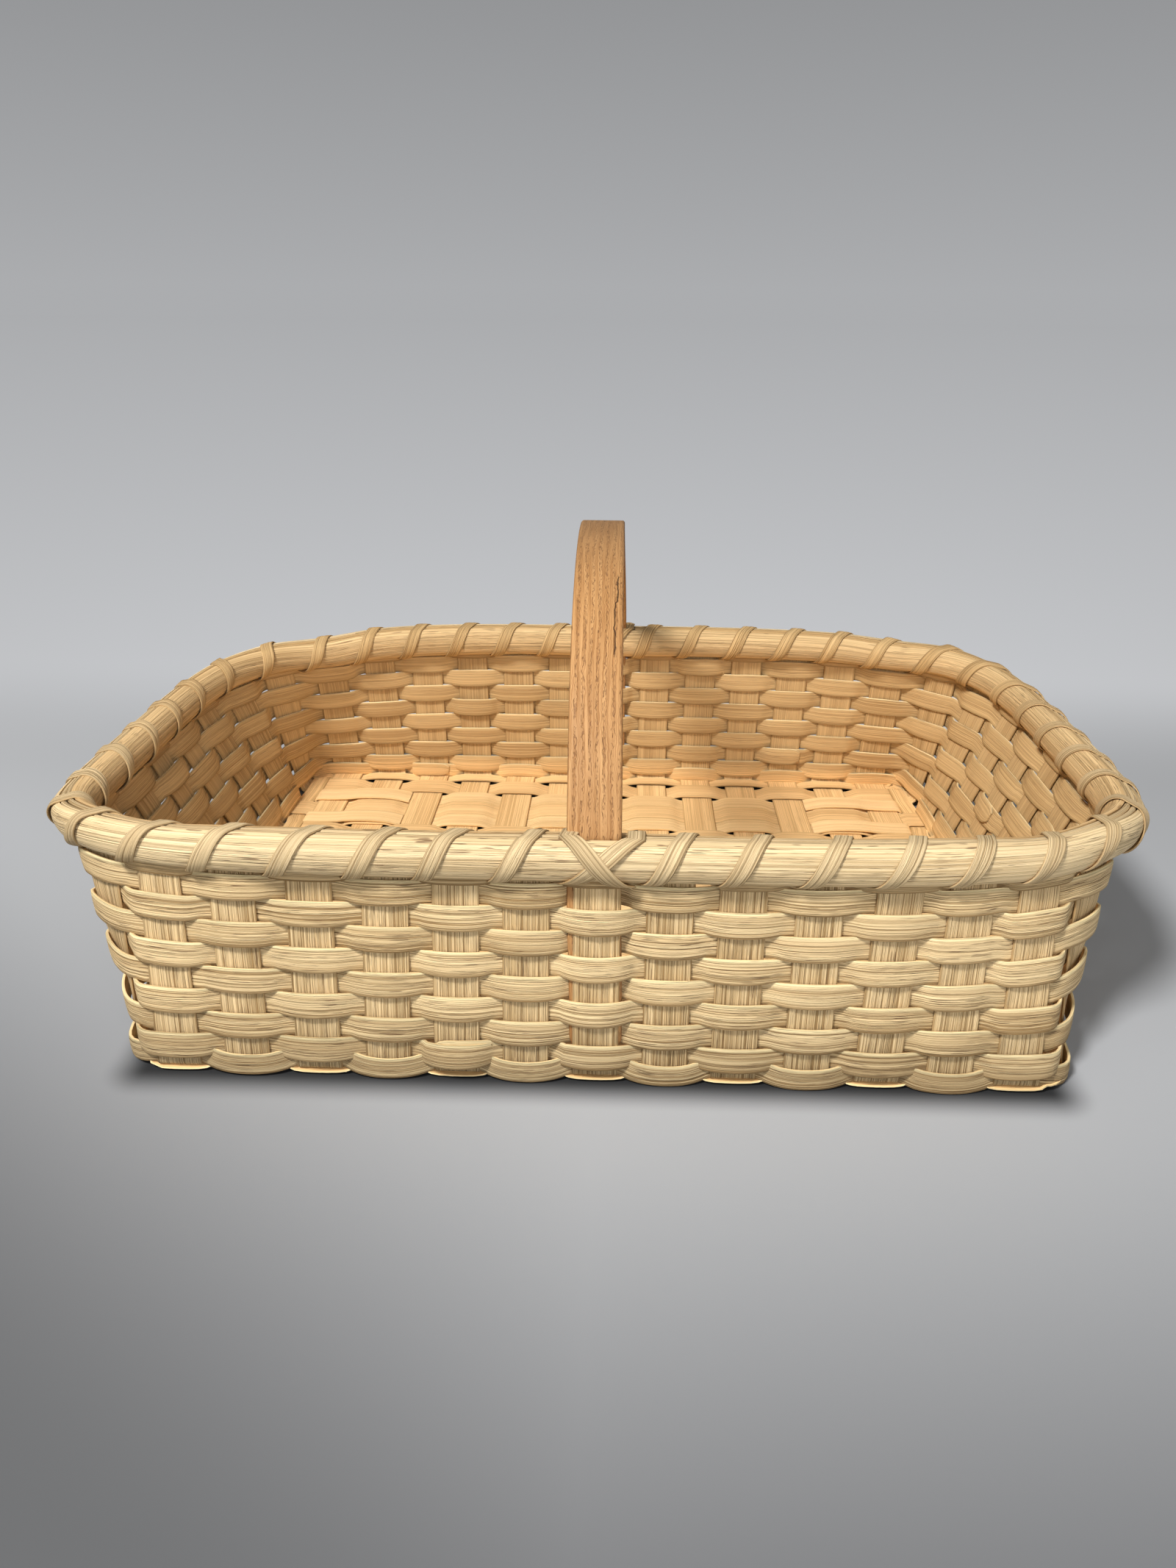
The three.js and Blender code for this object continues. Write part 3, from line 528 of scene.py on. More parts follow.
def sweep(name, stations, profile, kind, node, shift=0.0, smooth_angle=SMOOTH_ANGLE):
    """Rolls a grid into a strip along the stations and closes its seam and its ends."""
    columns = len(profile)
    bm = bmesh.new()
    bmesh.ops.create_grid(bm, x_segments=columns, y_segments=len(stations) - 1, size=1)
    reed = bm.verts.layers.float_vector.new("reed")
    bm.verts.ensure_lookup_table()
    along = 0.0
    for row, station in enumerate(stations):
        if row:
            along += (station.centre - stations[row - 1].centre).length
        section = station.profile or profile
        for column in range(columns + 1):
            across, rise, face = section[column % columns]
            vert = bm.verts[row * (columns + 1) + column]
            vert.co = (station.centre + station.width_way * (across * station.scale)
                       + station.crown_way * (rise * station.depth))
            vert.co.z = max(0.0, vert.co.z)
            vert[reed] = (along + shift, across, face)
    bmesh.ops.remove_doubles(bm, verts=bm.verts, dist=1e-6)
    open_edges = [edge for edge in bm.edges if edge.is_boundary]
    bmesh.ops.holes_fill(bm, edges=open_edges, sides=0)
    bmesh.ops.recalc_face_normals(bm, faces=bm.faces)
    mesh = new_mesh(name, bm, MATERIALS[kind])
    mesh.shade_smooth()
    mesh.set_sharp_from_angle(angle=smooth_angle)
    piece = new_object(name, mesh)
    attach(piece, BODY)
    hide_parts(node)


def new_mesh(name, bm, material):
    mesh = bpy.data.meshes.new(name)
    bm.to_mesh(mesh)
    bm.free()
    mesh.materials.append(material)
    return mesh


def new_object(name, data):
    holder = bpy.data.objects.new(name, data)
    bpy.context.scene.collection.objects.link(holder)
    return holder


class Socket:
    """A shader socket. Arithmetic on it adds Math nodes."""

    def __init__(self, tree, output):
        self.tree = tree
        self.output = output

    def math(self, operation, *others):
        return add_node(self.tree, "ShaderNodeMath", {"operation": operation}, [self, *others])

    def __add__(self, other):
        return self.math("ADD", other)

    __radd__ = __add__

    def __sub__(self, other):
        return self.math("SUBTRACT", other)

    def __rsub__(self, other):
        return add_node(self.tree, "ShaderNodeMath", {"operation": "SUBTRACT"}, [other, self])

    def __mul__(self, other):
        return self.math("MULTIPLY", other)

    def __truediv__(self, other):
        return self.math("DIVIDE", other)

    def abs(self):
        return self.math("ABSOLUTE")

    def ramp(self, low, high):
        """0 below low, 1 above high."""
        return add_node(self.tree, "ShaderNodeMapRange",
                        {"clamp": True, "interpolation_type": "SMOOTHSTEP"},
                        {"Value": self, "From Min": low, "From Max": high})

    def band(self, centre, reach):
        """1 at a value, 0 beyond its reach."""
        return 1 - (self - centre).abs().ramp(0.0, reach)

    def under(self, factor, colour, blend="MIX"):
        """This colour with another laid over it by a factor."""
        return colour_mix(self.tree, factor, self, colour, blend)


def add_node(tree, kind, settings, values, output=0):
    """Adds a node, sets it up and joins its inputs. Returns one output as a Socket."""
    node = tree.nodes.new(kind)
    for key, value in settings.items():
        setattr(node, key, value)
    pairs = values.items() if isinstance(values, dict) else enumerate(values)
    for key, value in pairs:
        if isinstance(value, Socket):
            tree.links.new(value.output, node.inputs[key])
        else:
            node.inputs[key].default_value = value
    return Socket(tree, node.outputs[output])


def colour_mix(tree, factor, a, b, blend="MIX"):
    """Mixes two colours by a factor."""
    a, b = (value if isinstance(value, Socket) else (*value, 1.0) for value in (a, b))
    return add_node(tree, "ShaderNodeMix", {"data_type": "RGBA", "blend_type": blend},
                    {0: factor, 6: a, 7: b}, 2)


def scaled(tree, colour, factor):
    """A colour times a number."""
    return add_node(tree, "ShaderNodeVectorMath", {"operation": "SCALE"},
                    {"Vector": colour, "Scale": factor})


def split_up(tree, vector):
    """The three parts of a vector."""
    node = add_node(tree, "ShaderNodeSeparateXYZ", {}, [vector]).output.node
    return [Socket(tree, output) for output in node.outputs]


def coordinates(tree, kind="Object"):
    """The place of a shaded point, as three Sockets."""
    return split_up(tree, add_node(tree, "ShaderNodeTexCoord", {}, {}, kind))


def streaks(tree, along, across, scale_along, scale_across, detail=2.0, seed=0.0):
    """Noise stretched along the strip, by its scale each way, detail and seed."""
    vector = add_node(tree, "ShaderNodeCombineXYZ", {},
                      [along * scale_along, across * scale_across + seed, seed])
    return add_node(tree, "ShaderNodeTexNoise", {"noise_dimensions": "3D"},
                    {"Vector": vector, "Scale": 1.0, "Detail": detail, "Roughness": 0.6})


def start_material(name, specular):
    material = bpy.data.materials.new(name)
    material.use_nodes = True
    tree = material.node_tree
    shader = tree.nodes["Principled BSDF"]
    shader.inputs["Specular IOR Level"].default_value = specular
    return material, tree, shader


def start_strip(name, specular):
    """A material with the place on a strip: along it, across it, and 1 on its crowned side."""
    material, tree, shader = start_material(name, specular)
    reed = add_node(tree, "ShaderNodeAttribute", {"attribute_name": "reed"}, {}, "Vector")
    return material, tree, shader, split_up(tree, reed)


def finish_strip(tree, shader, colour, roughness, height, strength, distance):
    tree.links.new(colour.output, shader.inputs["Base Color"])
    tree.links.new(roughness.output, shader.inputs["Roughness"])
    bump = add_node(tree, "ShaderNodeBump", {},
                    {"Strength": strength, "Distance": distance, "Height": height})
    tree.links.new(bump.output, shader.inputs["Normal"])


def shade(colour, *factors):
    """A colour with each channel scaled."""
    return tuple(min(1, c * k) for c, k in zip(colour, factors * (3 // len(factors))))


# Painted shade: the tint that makes the strips' inner sides darker and warmer, as the basket's inside
# lies in shade.
INSIDE_SHADE_TINT = (0.745, 0.665, 0.57)


def reed_material(name, body, fibre, width, coarse=1.0, lines=1.0, dashes=1.0, light=1.3, calm=0.5,
                  edge_light_and_shade=False, turned=False, alike=False, foot=1.0, back_shade_tint=()):
    """Split reed: tan fibres, dark dashes and pale streaks along it, fewer inside, where painted
    shade makes it darker and warmer; painted light and shade at its edges, on the base and near the
    floor.

    turned: the crowned side faces inwards. alike: both sides look like an inside. calm: share of the
    fibres that stay on the inside. foot: tone of the painted shade near the floor. back_shade_tint: tint
    of the painted shade at the basket's back. worn: painted highlight on the upper edge and painted
    shade on the lower edge."""
    material, tree, shader, (along, across, face) = start_strip(name, 0.3)
    if turned:
        face = 1 - face
    if alike:
        face = face * 0.0
    depth, height = coordinates(tree)[1:]
    outer = face * (1 - calm) + calm
    patches, cords, threads, dash, blotch, pale = (
        streaks(tree, along, across, *layer) for layer in (
            (5, 60, 2.0, 1.3), (4, 2100 * coarse, 1.0, 4.7), (7, 4100 * coarse, 1.0, 9.1),
            (75, 3300 * coarse, 1.0, 14.9), (22, 150, 2.0, 21.3), (5, 2500 * coarse, 1.0, 27.7)))

    dark = shade(body, 0.42, 0.34, 0.23)
    colour = colour_mix(tree, patches.ramp(0.32, 0.68), shade(body, 0.85, 0.81, 0.75),
                        shade(body, 1.14, 1.16, 1.18))
    colour = colour.under(pale.ramp(0.46, 0.6) * 0.7, shade(body, light, light * 1.03, light * 1.08))
    colour = colour.under(threads.ramp(0.54, 0.61) * outer * (0.65 * lines), dark)
    colour = colour.under(cords.ramp(0.58, 0.63) * outer * (0.8 * lines), dark)
    marks = dash.ramp(0.6, 0.66) * blotch.ramp(0.38, 0.54) * outer * (0.85 * dashes)
    colour = colour.under(marks, fibre)
    # Painted shade: the inner side is tinted darker and warmer.
    colour = colour.under(1 - face, colour.under(1.0, INSIDE_SHADE_TINT, "MULTIPLY"))
    # Painted shade: towards the basket's back the strip is tinted darker and warmer, as it is seen from
    # the shaded inside.
    if back_shade_tint:
        colour = colour.under(depth.ramp(-0.12, 0.13), colour.under(1.0, back_shade_tint, "MULTIPLY"))
    from_middle = across / (width / 2)
    # Painted light: a weaver's upper edge is painted lighter, as if lit from above, and its lower edge is
    # painted darker, as shade.
    if edge_light_and_shade:
        top_edge_highlight = from_middle.ramp(0.66, 0.94) * (face * 0.5 + 0.1)
        colour = colour.under(top_edge_highlight, shade(body, 1.5, 1.56, 1.66))
        colour = colour.under(from_middle.ramp(-0.6, -1.0) * 0.8, dark)
    else:
        # Painted shade: the other strips are painted darker along both edges.
        colour = colour.under(from_middle.abs().ramp(0.86, 1.0) * 0.5, dark)
    # Painted light and shade: the inner side is painted brighter on the base, and the outer side is
    # painted darker towards the floor.
    painted_base_light = (1 - height.ramp(0.004, 0.018)) * (1 - face)
    painted_floor_shade = (1 - height.ramp(0.0, 0.042)) * face
    colour = scaled(tree, colour, 1 + painted_base_light * 0.54 - painted_floor_shade * (1 - foot))

    relief = threads.ramp(0.45, 0.6) * -0.5 - cords.ramp(0.52, 0.64) * 0.8 - marks * 0.6
    finish_strip(tree, shader, colour, 0.55 + cords * 0.25, relief * outer, 0.9, 0.0003)
    return material


def oak_material(name, body, pore):
    """Bent oak: wavy rows of short open pores along the grain, a fine crack, darker edges, painted shade
    on top.
    """
    material, tree, shader, (along, across, face) = start_strip(name, 0.32)
    drift = streaks(tree, along, across, 14, 60, 2.0, 2.2) - 0.5
    ripple = streaks(tree, along, across, 260, 330, 1.0, 31.9) - 0.5
    wavy = across + drift * 0.0035 + ripple * 0.0012
    grain = streaks(tree, along, across + drift * 0.004, 9, 420, 3.0, 5.1)
    pores = streaks(tree, along, wavy, 480, 3100, 1.0, 8.4)
    rows = (wavy * 2050.0).math("SINE")
    hair = streaks(tree, along, wavy, 30, 2600, 2.0, 22.2)
    band = streaks(tree, along, across, 7, 130, 2.0, 17.3)

    colour = colour_mix(tree, grain.ramp(0.34, 0.66), shade(body, 0.82, 0.77, 0.7),
                        shade(body, 1.1, 1.12, 1.14))
    colour = colour.under(band.ramp(0.46, 0.66) * 0.45, shade(body, 0.72, 0.62, 0.5))
    colour = colour.under(hair.ramp(0.48, 0.58) * 0.65, shade(body, 0.66, 0.54, 0.42))
    holes = pores.ramp(0.56, 0.62) * rows.ramp(-0.1, 0.6)
    colour = colour.under(holes * 0.65, pore)
    # Painted shade: the top of the arch is darker.
    colour = colour.under(along.band(TOP_SHADE_ALONG, 0.1) * 0.75, shade(body, 0.55, 0.54, 0.56))
    crack_line = (across - CRACK_ACROSS - drift * 0.0036 - ripple * 0.0024).band(0.0, 0.0005)
    crack = crack_line * along.band(CRACK_ALONG, 0.029).ramp(0.0, 0.15) * face
    colour = colour.under(crack * 0.95, shade(pore, 0.3))
    edge = (across.abs() / 0.0109).ramp(0.92, 1.0) * 0.4
    colour = colour.under(edge, shade(body, 0.5, 0.42, 0.36))
    height = grain * 0.3 - holes - hair.ramp(0.5, 0.7) * 0.3 - crack * 2.0
    finish_strip(tree, shader, colour, 0.5 + grain * 0.2, height, 0.8, 0.0004)
    return material


def make_materials(scene):
    look = scene.basket_finish
    reed = scene.basket_reed
    tones = {key: tuple(getattr(look, key)) for key in look.__annotations__}
    rim_width = reed.stake_width * 1.1
    # foot sets the painted shade near the floor, worn the weaver's painted edge highlight and shade, and
    # back_shade_tint the painted shade at the basket's back.
    kinds = {
        "weaver": (reed.weaver_width, dict(light=1.4, calm=0.35, edge_light_and_shade=True, foot=0.7)),
        "stake": (reed.stake_width, dict(coarse=0.8, dashes=0.7, calm=0.3, turned=True, foot=0.65)),
        "filler": (reed.filler_width, dict(lines=0.5, dashes=0.2, light=1.1, alike=True)),
        "rim": (rim_width, dict(coarse=0.8, lines=0.6, dashes=0.9)),
        "inner_rim": (rim_width, dict(lines=0.5, dashes=0.6)),
        "lashing": (reed.lashing_width,
                    dict(lines=0.8, dashes=0.3, light=1.15, back_shade_tint=(0.96, 0.84, 0.68))),
    }
    made = {kind: reed_material(f"{kind}_reed", tones[kind], tones["fibre"], width, **looks)
            for kind, (width, looks) in kinds.items()}
    made["oak"] = oak_material("oak", tones["oak"], tones["oak_dark"])
    return made


def upright(form, index):
    """Centres and width directions of a stake from the base's edge, round its bend and up the wall."""
    stake = form.stake(index)
    side = stake.side(0)
    start, end = stake.fold - side.cross(UP) * BEND_RUN, stake.point(0, BEND_RUN)
    centres, ways = [], []
    for k in range(BEND_STEPS):
        t = k / BEND_STEPS
        centres.append(start.lerp(stake.fold, t).lerp(stake.fold.lerp(end, t), t))
        ways.append(side)
    parity = 1 if passes_outside(WALL_ROWS - 1, index) else -1
    for k in range(WALL_STEPS + 1):
        height = mix(BEND_RUN, form.stake_top, k / WALL_STEPS)
        phase = math.pi * (height - form.row_height(WALL_ROWS - 1)) / form.size.row_pitch
        fade = smooth(k / 4) * smooth((WALL_STEPS - k) / 5)
        sway = -WALL_SWAY * parity * math.cos(phase) * fade
        centres.append(stake.point(0, height, sway + form.push(index, height)))
        ways.append(stake.side(height))
    return centres, ways


def sweep_stake(form, name, number, first, second, middle, way, shift):
    """A stake comes down the wall at one end, crosses the base and climbs the wall at the other."""
    down, down_ways = upright(form, first)
    up, up_ways = upright(form, second)
    ways = [-side for side in down_ways[::-1]] + [way] * len(middle) + up_ways
    profile = flat(form.reed.stake_width, form.reed.stake_thickness)
    sweep(f"{name}_stake_strip_{number}", square_up(down[::-1] + middle + up, ways), profile,
          "stake", f"{name}_stake_{number}", shift)


def make_cross_stakes(form):
    half = form.half_width - BASE_INSET
    for n in range(CROSS_STAKES):
        x = form.size.cross_pitch * (n - CROSS_REACH)
        drift = form.stake(n).fold.x - x
        parity = 1 if (n - CROSS_REACH) % 2 == 0 else -1
        middle = []
        for k in range(BASE_STEPS + 1):
            y = mix(-half, half, k / BASE_STEPS)
            phase = math.pi * y / form.size.long_pitch
            fade = smooth(k / 6) * smooth((BASE_STEPS - k) / 6)
            sway = -BASE_SWAY * parity * math.cos(2 * phase) * fade
            here = x + drift * (1 - smooth(k / BASE_STEPS * 1.6))
            middle.append(Vector((here, y, form.base_level + sway)))
        sweep_stake(form, "cross", f"{n + 1:02d}", n, FIRST_LEFT - 1 - n, middle, -ALONG, 3.1 * n)


def woven_levels(form, is_over, reach):
    """Points of a strip woven over and under the cross stakes, out to a reach each way."""
    pitch = form.size.cross_pitch
    points = []
    steps = 14
    for n in range(-CROSS_REACH, CROSS_REACH + 1):
        sign = 1 if is_over(n) else -1
        for k in range(steps):
            t = (k + 0.5) / steps - 0.5
            x = pitch * (n + t)
            if abs(x) > reach:
                continue
            wave = math.cos(math.pi * t)
            lift = wave / math.sqrt(wave * wave + 0.16) * 1.08
            points.append(Vector((x, 0, sign * lift * form.size.layer_step)))
    return points


def make_long_stakes(form):
    reach = form.size.cross_pitch * CROSS_REACH + form.edge
    for n in range(LONG_STAKES):
        j = n - LONG_REACH
        spot = Vector((0, form.size.long_pitch * j, form.base_level))
        woven = woven_levels(form, lambda cross: (cross + j) % 2 == 0, reach)
        edges = [ALONG * (form.half_length - inset) for inset in (BASE_INSET, LONG_BASE_INSET)]
        middle = [spot - edge for edge in edges] + [point + spot for point in woven]
        middle += [spot + edge for edge in edges[::-1]]
        sweep_stake(form, "long", n + 1, STAKE_COUNT - 1 - n, FIRST_RIGHT + n, middle, ACROSS,
                    50 + 2.7 * n)


def make_fillers(form):
    """Fillers fold up round the outermost cross stakes, and their tails come back over two of them."""
    pitch = form.size.cross_pitch
    step = form.size.layer_step
    thickness = form.reed.stake_thickness
    fold_x = pitch * CROSS_REACH + form.edge
    for n in range(FILLERS):
        middle = woven_levels(form, lambda cross: cross % 2 != 0, fold_x)
        ends = {}
        for side in (-1, 1):
            slack = 0.0012 * wobble(n * 3.7, side * 2.0)
            tail = [(fold_x + 0.0006, -step * 0.6), (fold_x + 0.0016, 0.0), (fold_x + 0.0006, step * 0.8),
                    (fold_x - 0.002, step * 1.1)]
            for back, level in FILLER_TAIL:
                tail.append((pitch * (CROSS_REACH - back), step * level))
            tail.append((pitch * (CROSS_REACH - FILLER_TAIL_END) + slack, step * 0.45))
            ends[side] = [Vector((side * x, 0, z)) for x, z in tail]
        spot = Vector((0, form.size.long_pitch * (n + 0.5 - LONG_REACH), form.base_level))
        centres = [point + spot for point in refine(ends[-1][::-1] + middle + ends[1], 3)]
        for centre in centres:
            centre.z = max(centre.z, thickness / 2)
        stations = square_up(centres, [ACROSS] * len(centres))
        sweep(f"base_filler_strip_{n + 1}", stations, flat(form.reed.filler_width, thickness),
              "filler", f"base_filler_{n + 1}", 90 + 4.3 * n)


def refine(points, parts):
    """A smooth curve through points, with each span cut into parts."""
    curve = []
    last = len(points) - 1
    for i in range(last):
        near = (points[max(0, i - 1)], points[i], points[i + 1], points[min(last, i + 2)])
        curve += [spline(*near, k / parts) for k in range(parts)]
    curve.append(points[-1])
    return curve


def arc(share, roundness):
    """Shape of a pass over a stake: 1 at its middle, 0 where the strip crosses the wall."""
    wave = math.cos(math.pi / 2 * min(1, share))
    return wave / math.sqrt(wave * wave + roundness) * math.sqrt(1 + roundness)


class RowPath:
    """The path of one weaver: outside one stake, inside the next, and over its own start at the end."""

    def __init__(self, form, row):
        self.form = form
        self.row = row
        self.start = ROW_STARTS[row]
        self.lap = 0 if row == 0 else OVERLAP
        self.total = STAKE_COUNT + self.lap
        self.height = form.row_height(row)
        self.step = form.reed.weaver_thickness + 0.0001

    def extra(self, n):
        """Room for the other lap: the first lap goes further in, the second further out."""
        outside = passes_outside(self.row, self.start + n)
        if 0 <= n < self.lap and not outside:
            return -self.step
        if n >= STAKE_COUNT and self.lap and outside:
            return self.step
        return 0.0

    def middle(self, n):
        """Offset of the strip at the middle of a stake."""
        form, row, index = self.form, self.row, (self.start + n) % STAKE_COUNT
        outside = passes_outside(row, index)
        if row == 0:
            return HIDDEN_BOW if outside else -HIDDEN_BOW
        reach = form.size.bow * (1 + 0.08 * wobble(index * 1.3, row * 2.1) if outside else -INSIDE_BOW)
        if outside and index in CORNER_STAKES:
            reach += form.size.corner_bow * (1 - self.height / form.rim_middle)
        leg = form.push(index, self.height)
        if leg and outside:
            reach = max(reach, leg + ROOM_OUTSIDE_LEG)
        if leg and not outside:
            reach = leg - ROOM_INSIDE_LEG - handle_thickness(form, self.height)
        return reach + self.extra(n)

    def offset(self, n, share):
        """Offset at a share of the way from a stake's middle to the middle of the gap."""
        roundness = 1.6 if passes_outside(self.row, self.start + n) else 0.45
        if self.row == 0:
            roundness = 0.15
        return self.middle(n) * arc(share, roundness)

    def lift(self, n, share):
        """Shift along the slope: unevenness, the laps, and the lowest row's curl under the bend."""
        index = (self.start + n) % STAKE_COUNT
        value = 0.0
        if self.row:
            value -= self.form.size.tilt * math.sin(2 * math.pi * (index - FRONT_LEG) / STAKE_COUNT)
        if self.lap and 0 <= n < self.lap:
            value += LAP_SHIFT
        if self.lap and n >= STAKE_COUNT:
            value -= LAP_SHIFT
        if self.row == WALL_ROWS:
            curl = CURL_OUTSIDE if passes_outside(self.row, index) else CURL_INSIDE
            value += curl * arc(share, 0.8)
        return value

    def narrowing(self, share):
        """The lowest row curls under the bend, and the highest is pressed between the rims."""
        if self.row == 0:
            return 0.1
        return 0.08 + 0.14 * arc(share, 0.8) if self.row == WALL_ROWS else 0.0


def make_wall_row(form, row):
    """A weaver goes once round the wall and laps itself."""
    path = RowPath(form, row)
    height = path.height
    centres, ways, swells = [], [], []

    def add(point, out, up, n, share, place):
        fullest = OUTSIDE_WIDTH if passes_outside(row, path.start + n) else INSIDE_WIDTH
        rough = 0.0003 * wobble(place * 0.42, row * 0.7) + 0.0002 * wobble(place * 1.7, row * 1.9)
        rise = path.lift(n, share) + (rough if row else 0)
        centres.append(point + out * path.offset(n, share) + up * rise)
        ways.append(up)
        swell = mix(CROSSING_WIDTH, fullest, arc(share, 1.0))
        swell += 0.015 * wobble(path.start + n + share, row * 3.3)
        swells.append(swell - path.narrowing(share))

    def gap_after(index):
        """Length of the gap between a stake and the next."""
        here, there = form.stake(index), form.stake(index + 1)
        return (here.point(form.edge, height) - there.point(-form.edge, height)).length

    for n in range(path.total):
        index = path.start + n
        stake = form.stake(index)
        gap = gap_after(index)
        for k in range(SIDE_STEPS + 1):
            sideways = mix(-form.edge, form.edge, k / SIDE_STEPS)
            share = abs(sideways) / (form.edge + (gap_after(index - 1) if sideways < 0 else gap) / 2)
            add(stake.point(sideways, height), stake.out(height), stake.slope, n, share,
                index + sideways / form.size.cross_pitch)
        if n == path.total - 1:
            break
        for k in range(1, GAP_STEPS):
            t = k / GAP_STEPS
            share = (form.edge + gap * min(t, 1 - t)) / (form.edge + gap / 2)
            add(*form.gap(index, t, height), n if t <= 0.5 else n + 1, share, index + 0.34 + 0.32 * t)
    stations = square_up(centres, ways)
    for station, swell in zip(stations, swells):
        station.scale = swell
    if path.lap:
        for i, (scale, depth) in enumerate(((0.55, 0.55), (0.85, 1.0), (0.97, 1.0))):
            for station in (stations[i], stations[-1 - i]):
                station.scale *= scale
                station.depth = depth
    profile = oval(form.reed.weaver_width, form.reed.weaver_thickness, WEAVER_EDGE)
    sweep(f"weaver_{row:02d}", stations, profile, "weaver", f"weaver_row_{row:02d}", 200 + 17.3 * row)


def handle_thickness(form, height):
    """Thickness of the oak at a height up the wall."""
    t = (height - form.handle.tail_end) / (form.size.rim_bottom - form.handle.tail_end)
    return mix(form.handle.tail_thickness, form.handle.thickness, min(1, max(0, t)))


def make_edge_row(form):
    """The first row lies flat on the edge of the base, over and under the stakes."""
    width = form.reed.weaver_width
    centres, ways = [], []
    for n in range(STAKE_COUNT):
        index = (EDGE_ROW_START + n) % STAKE_COUNT
        stake, following = form.stake(index), form.stake(index + 1)
        side = stake.side(0)
        out = side.cross(UP)
        under = passes_outside(EDGE_ROW, index)
        sign = -1 if under else 1
        inset = (UNDER_INSET if under else OVER_INSET) + width / 2
        for k in range(SIDE_STEPS + 1):
            sideways = mix(-form.edge, form.edge, k / SIDE_STEPS)
            wave = math.cos(math.pi / 2 * min(1, abs(sideways) / (form.edge + 0.005)))
            lift = wave / math.sqrt(wave * wave + 0.14) * 1.068
            level = sign * form.size.layer_step * lift
            shift = inset - (0.0012 * wave if under else 0.0)
            centres.append(stake.fold + side * sideways - out * shift + UP * level)
            ways.append(out)
        if n < STAKE_COUNT - 1 and stake.heading != following.heading:
            next_side = following.side(0)
            next_out = next_side.cross(UP)
            a = stake.fold + side * form.edge - out * inset
            b = following.fold - next_side * form.edge - next_out * inset
            corner = a + side * (b - a).dot(side)
            for k in range(1, SIDE_STEPS):
                t = k / SIDE_STEPS
                centres.append(a.lerp(corner, t).lerp(corner.lerp(b, t), t))
                ways.append(out.lerp(next_out, t).normalized())
    # The row runs on to its own start.
    a, b = centres[-1], centres[0]
    centres += [a.lerp(b, t) for t in (0.2, 0.4, 0.6, 0.8, 0.99)]
    ways += [out] * 5
    for centre in centres:
        centre.z = max(centre.z, form.reed.weaver_thickness / 2)
    profile = oval(width, form.reed.weaver_thickness * 0.85, 0.0006)
    sweep(f"weaver_{EDGE_ROW:02d}", square_up(centres, ways), profile, "weaver",
          f"weaver_row_{EDGE_ROW:02d}", 420)


def leg_bump(form, place):
    """How far the inner rim bends round the handle's notched legs."""
    reach = 1.6
    away = min(ring_distance(place, leg) for leg in (FRONT_LEG, BACK_LEG))
    depth = form.seat + form.handle.thickness - form.handle.notch + form.reed.clearance
    return smooth((reach - away) / (reach - 0.42)) * (depth - form.size.rim_seat)


def make_rims(form):
    size = form.size
    steps = 10
    profile = half_round(size.rim_height, size.rim_thickness)
    for name, kind, side, start in (("outer_rim", "rim", 1, OUTER_RIM_END),
                                    ("inner_rim", "inner_rim", -1, INNER_RIM_END)):
        stations = []
        for k in range(STAKE_COUNT * steps + 1):
            place = start + k / steps
            point, out, up = form.rim_frame(place)
            seat = size.rim_seat + (leg_bump(form, place) if side < 0 else 0.0)
            seat += 0.00025 * wobble(place * 0.5, side * 3.0)
            centre = point + out * (side * seat) + up * (0.0004 * wobble(place * 0.23, side * 5.0))
            swing = 0.02 * math.cos(4 * math.pi * place / STAKE_COUNT)
            scale = 1 + 0.04 * wobble(place * 0.31, side * 8.0) - swing
            slim = form.slim(place)
            stations.append(Station(centre, up * side, out * side, scale * (0.7 + 0.3 * slim), slim))
        sweep(f"{name}_reed", stations, profile, kind, name, 500 + 40 * side)


def make_strands(form):
    """Two strands in the slot between the rims, from leg to leg on each half."""
    size = form.reed.strand_size
    steps = 8
    profile = [(size / 2 * math.cos(a), size / 2 * math.sin(a), 1.0)
               for a in (2 * math.pi * k / 10 for k in range(10))]
    for end, first, last in (("right", FRONT_LEG, BACK_LEG), ("left", BACK_LEG, FRONT_LEG + STAKE_COUNT)):
        span = last - first - 2 * STRAND_START
        count = int(span * steps)
        for side, across in (("outer", STRAND_OFFSET), ("inner", -STRAND_OFFSET)):
            centres, ways = [], []
            for k in range(count + 1):
                place = first + STRAND_START + span * k / count
                point, out, up = form.rim_frame(place)
                rise = (form.rim_top - form.rim_middle) * (0.7 + 0.3 * form.slim(place))
                rise += 0.0003 * wobble(place, across * 900) - size * 0.42
                sideways = across + 0.0002 * wobble(place * 0.7, across * 500)
                centres.append(point + out * sideways + up * rise)
                ways.append(out)
            sweep(f"rim_strand_reed_{end}_{side}", square_up(centres, ways), profile, "lashing",
                  f"rim_strand_{end}_{side}", 600 + across * 4000)


class LashPath:
    """The loop of the lashing round both rims, seen in the wall's section, by length along it."""

    def __init__(self, form, lift=0.0):
        size = form.size
        gap = form.reed.lashing_thickness / 2 + 0.0002 + lift
        self.steps = 16
        outer = []
        for k in range(self.steps + 1):
            angle = -math.pi / 2 + math.pi * k / self.steps
            offset = size.rim_seat + (size.rim_thickness + gap) * math.cos(angle) ** 0.96
            outer.append((offset, (size.rim_height / 2 + gap) * math.sin(angle)))
        self.points = outer + [(-offset, rise) for offset, rise in reversed(outer)]
        self.lengths = [0.0]
        for (o0, h0), (o1, h1) in zip(self.points, self.points[1:]):
            self.lengths.append(self.lengths[-1] + math.hypot(o1 - o0, h1 - h0))


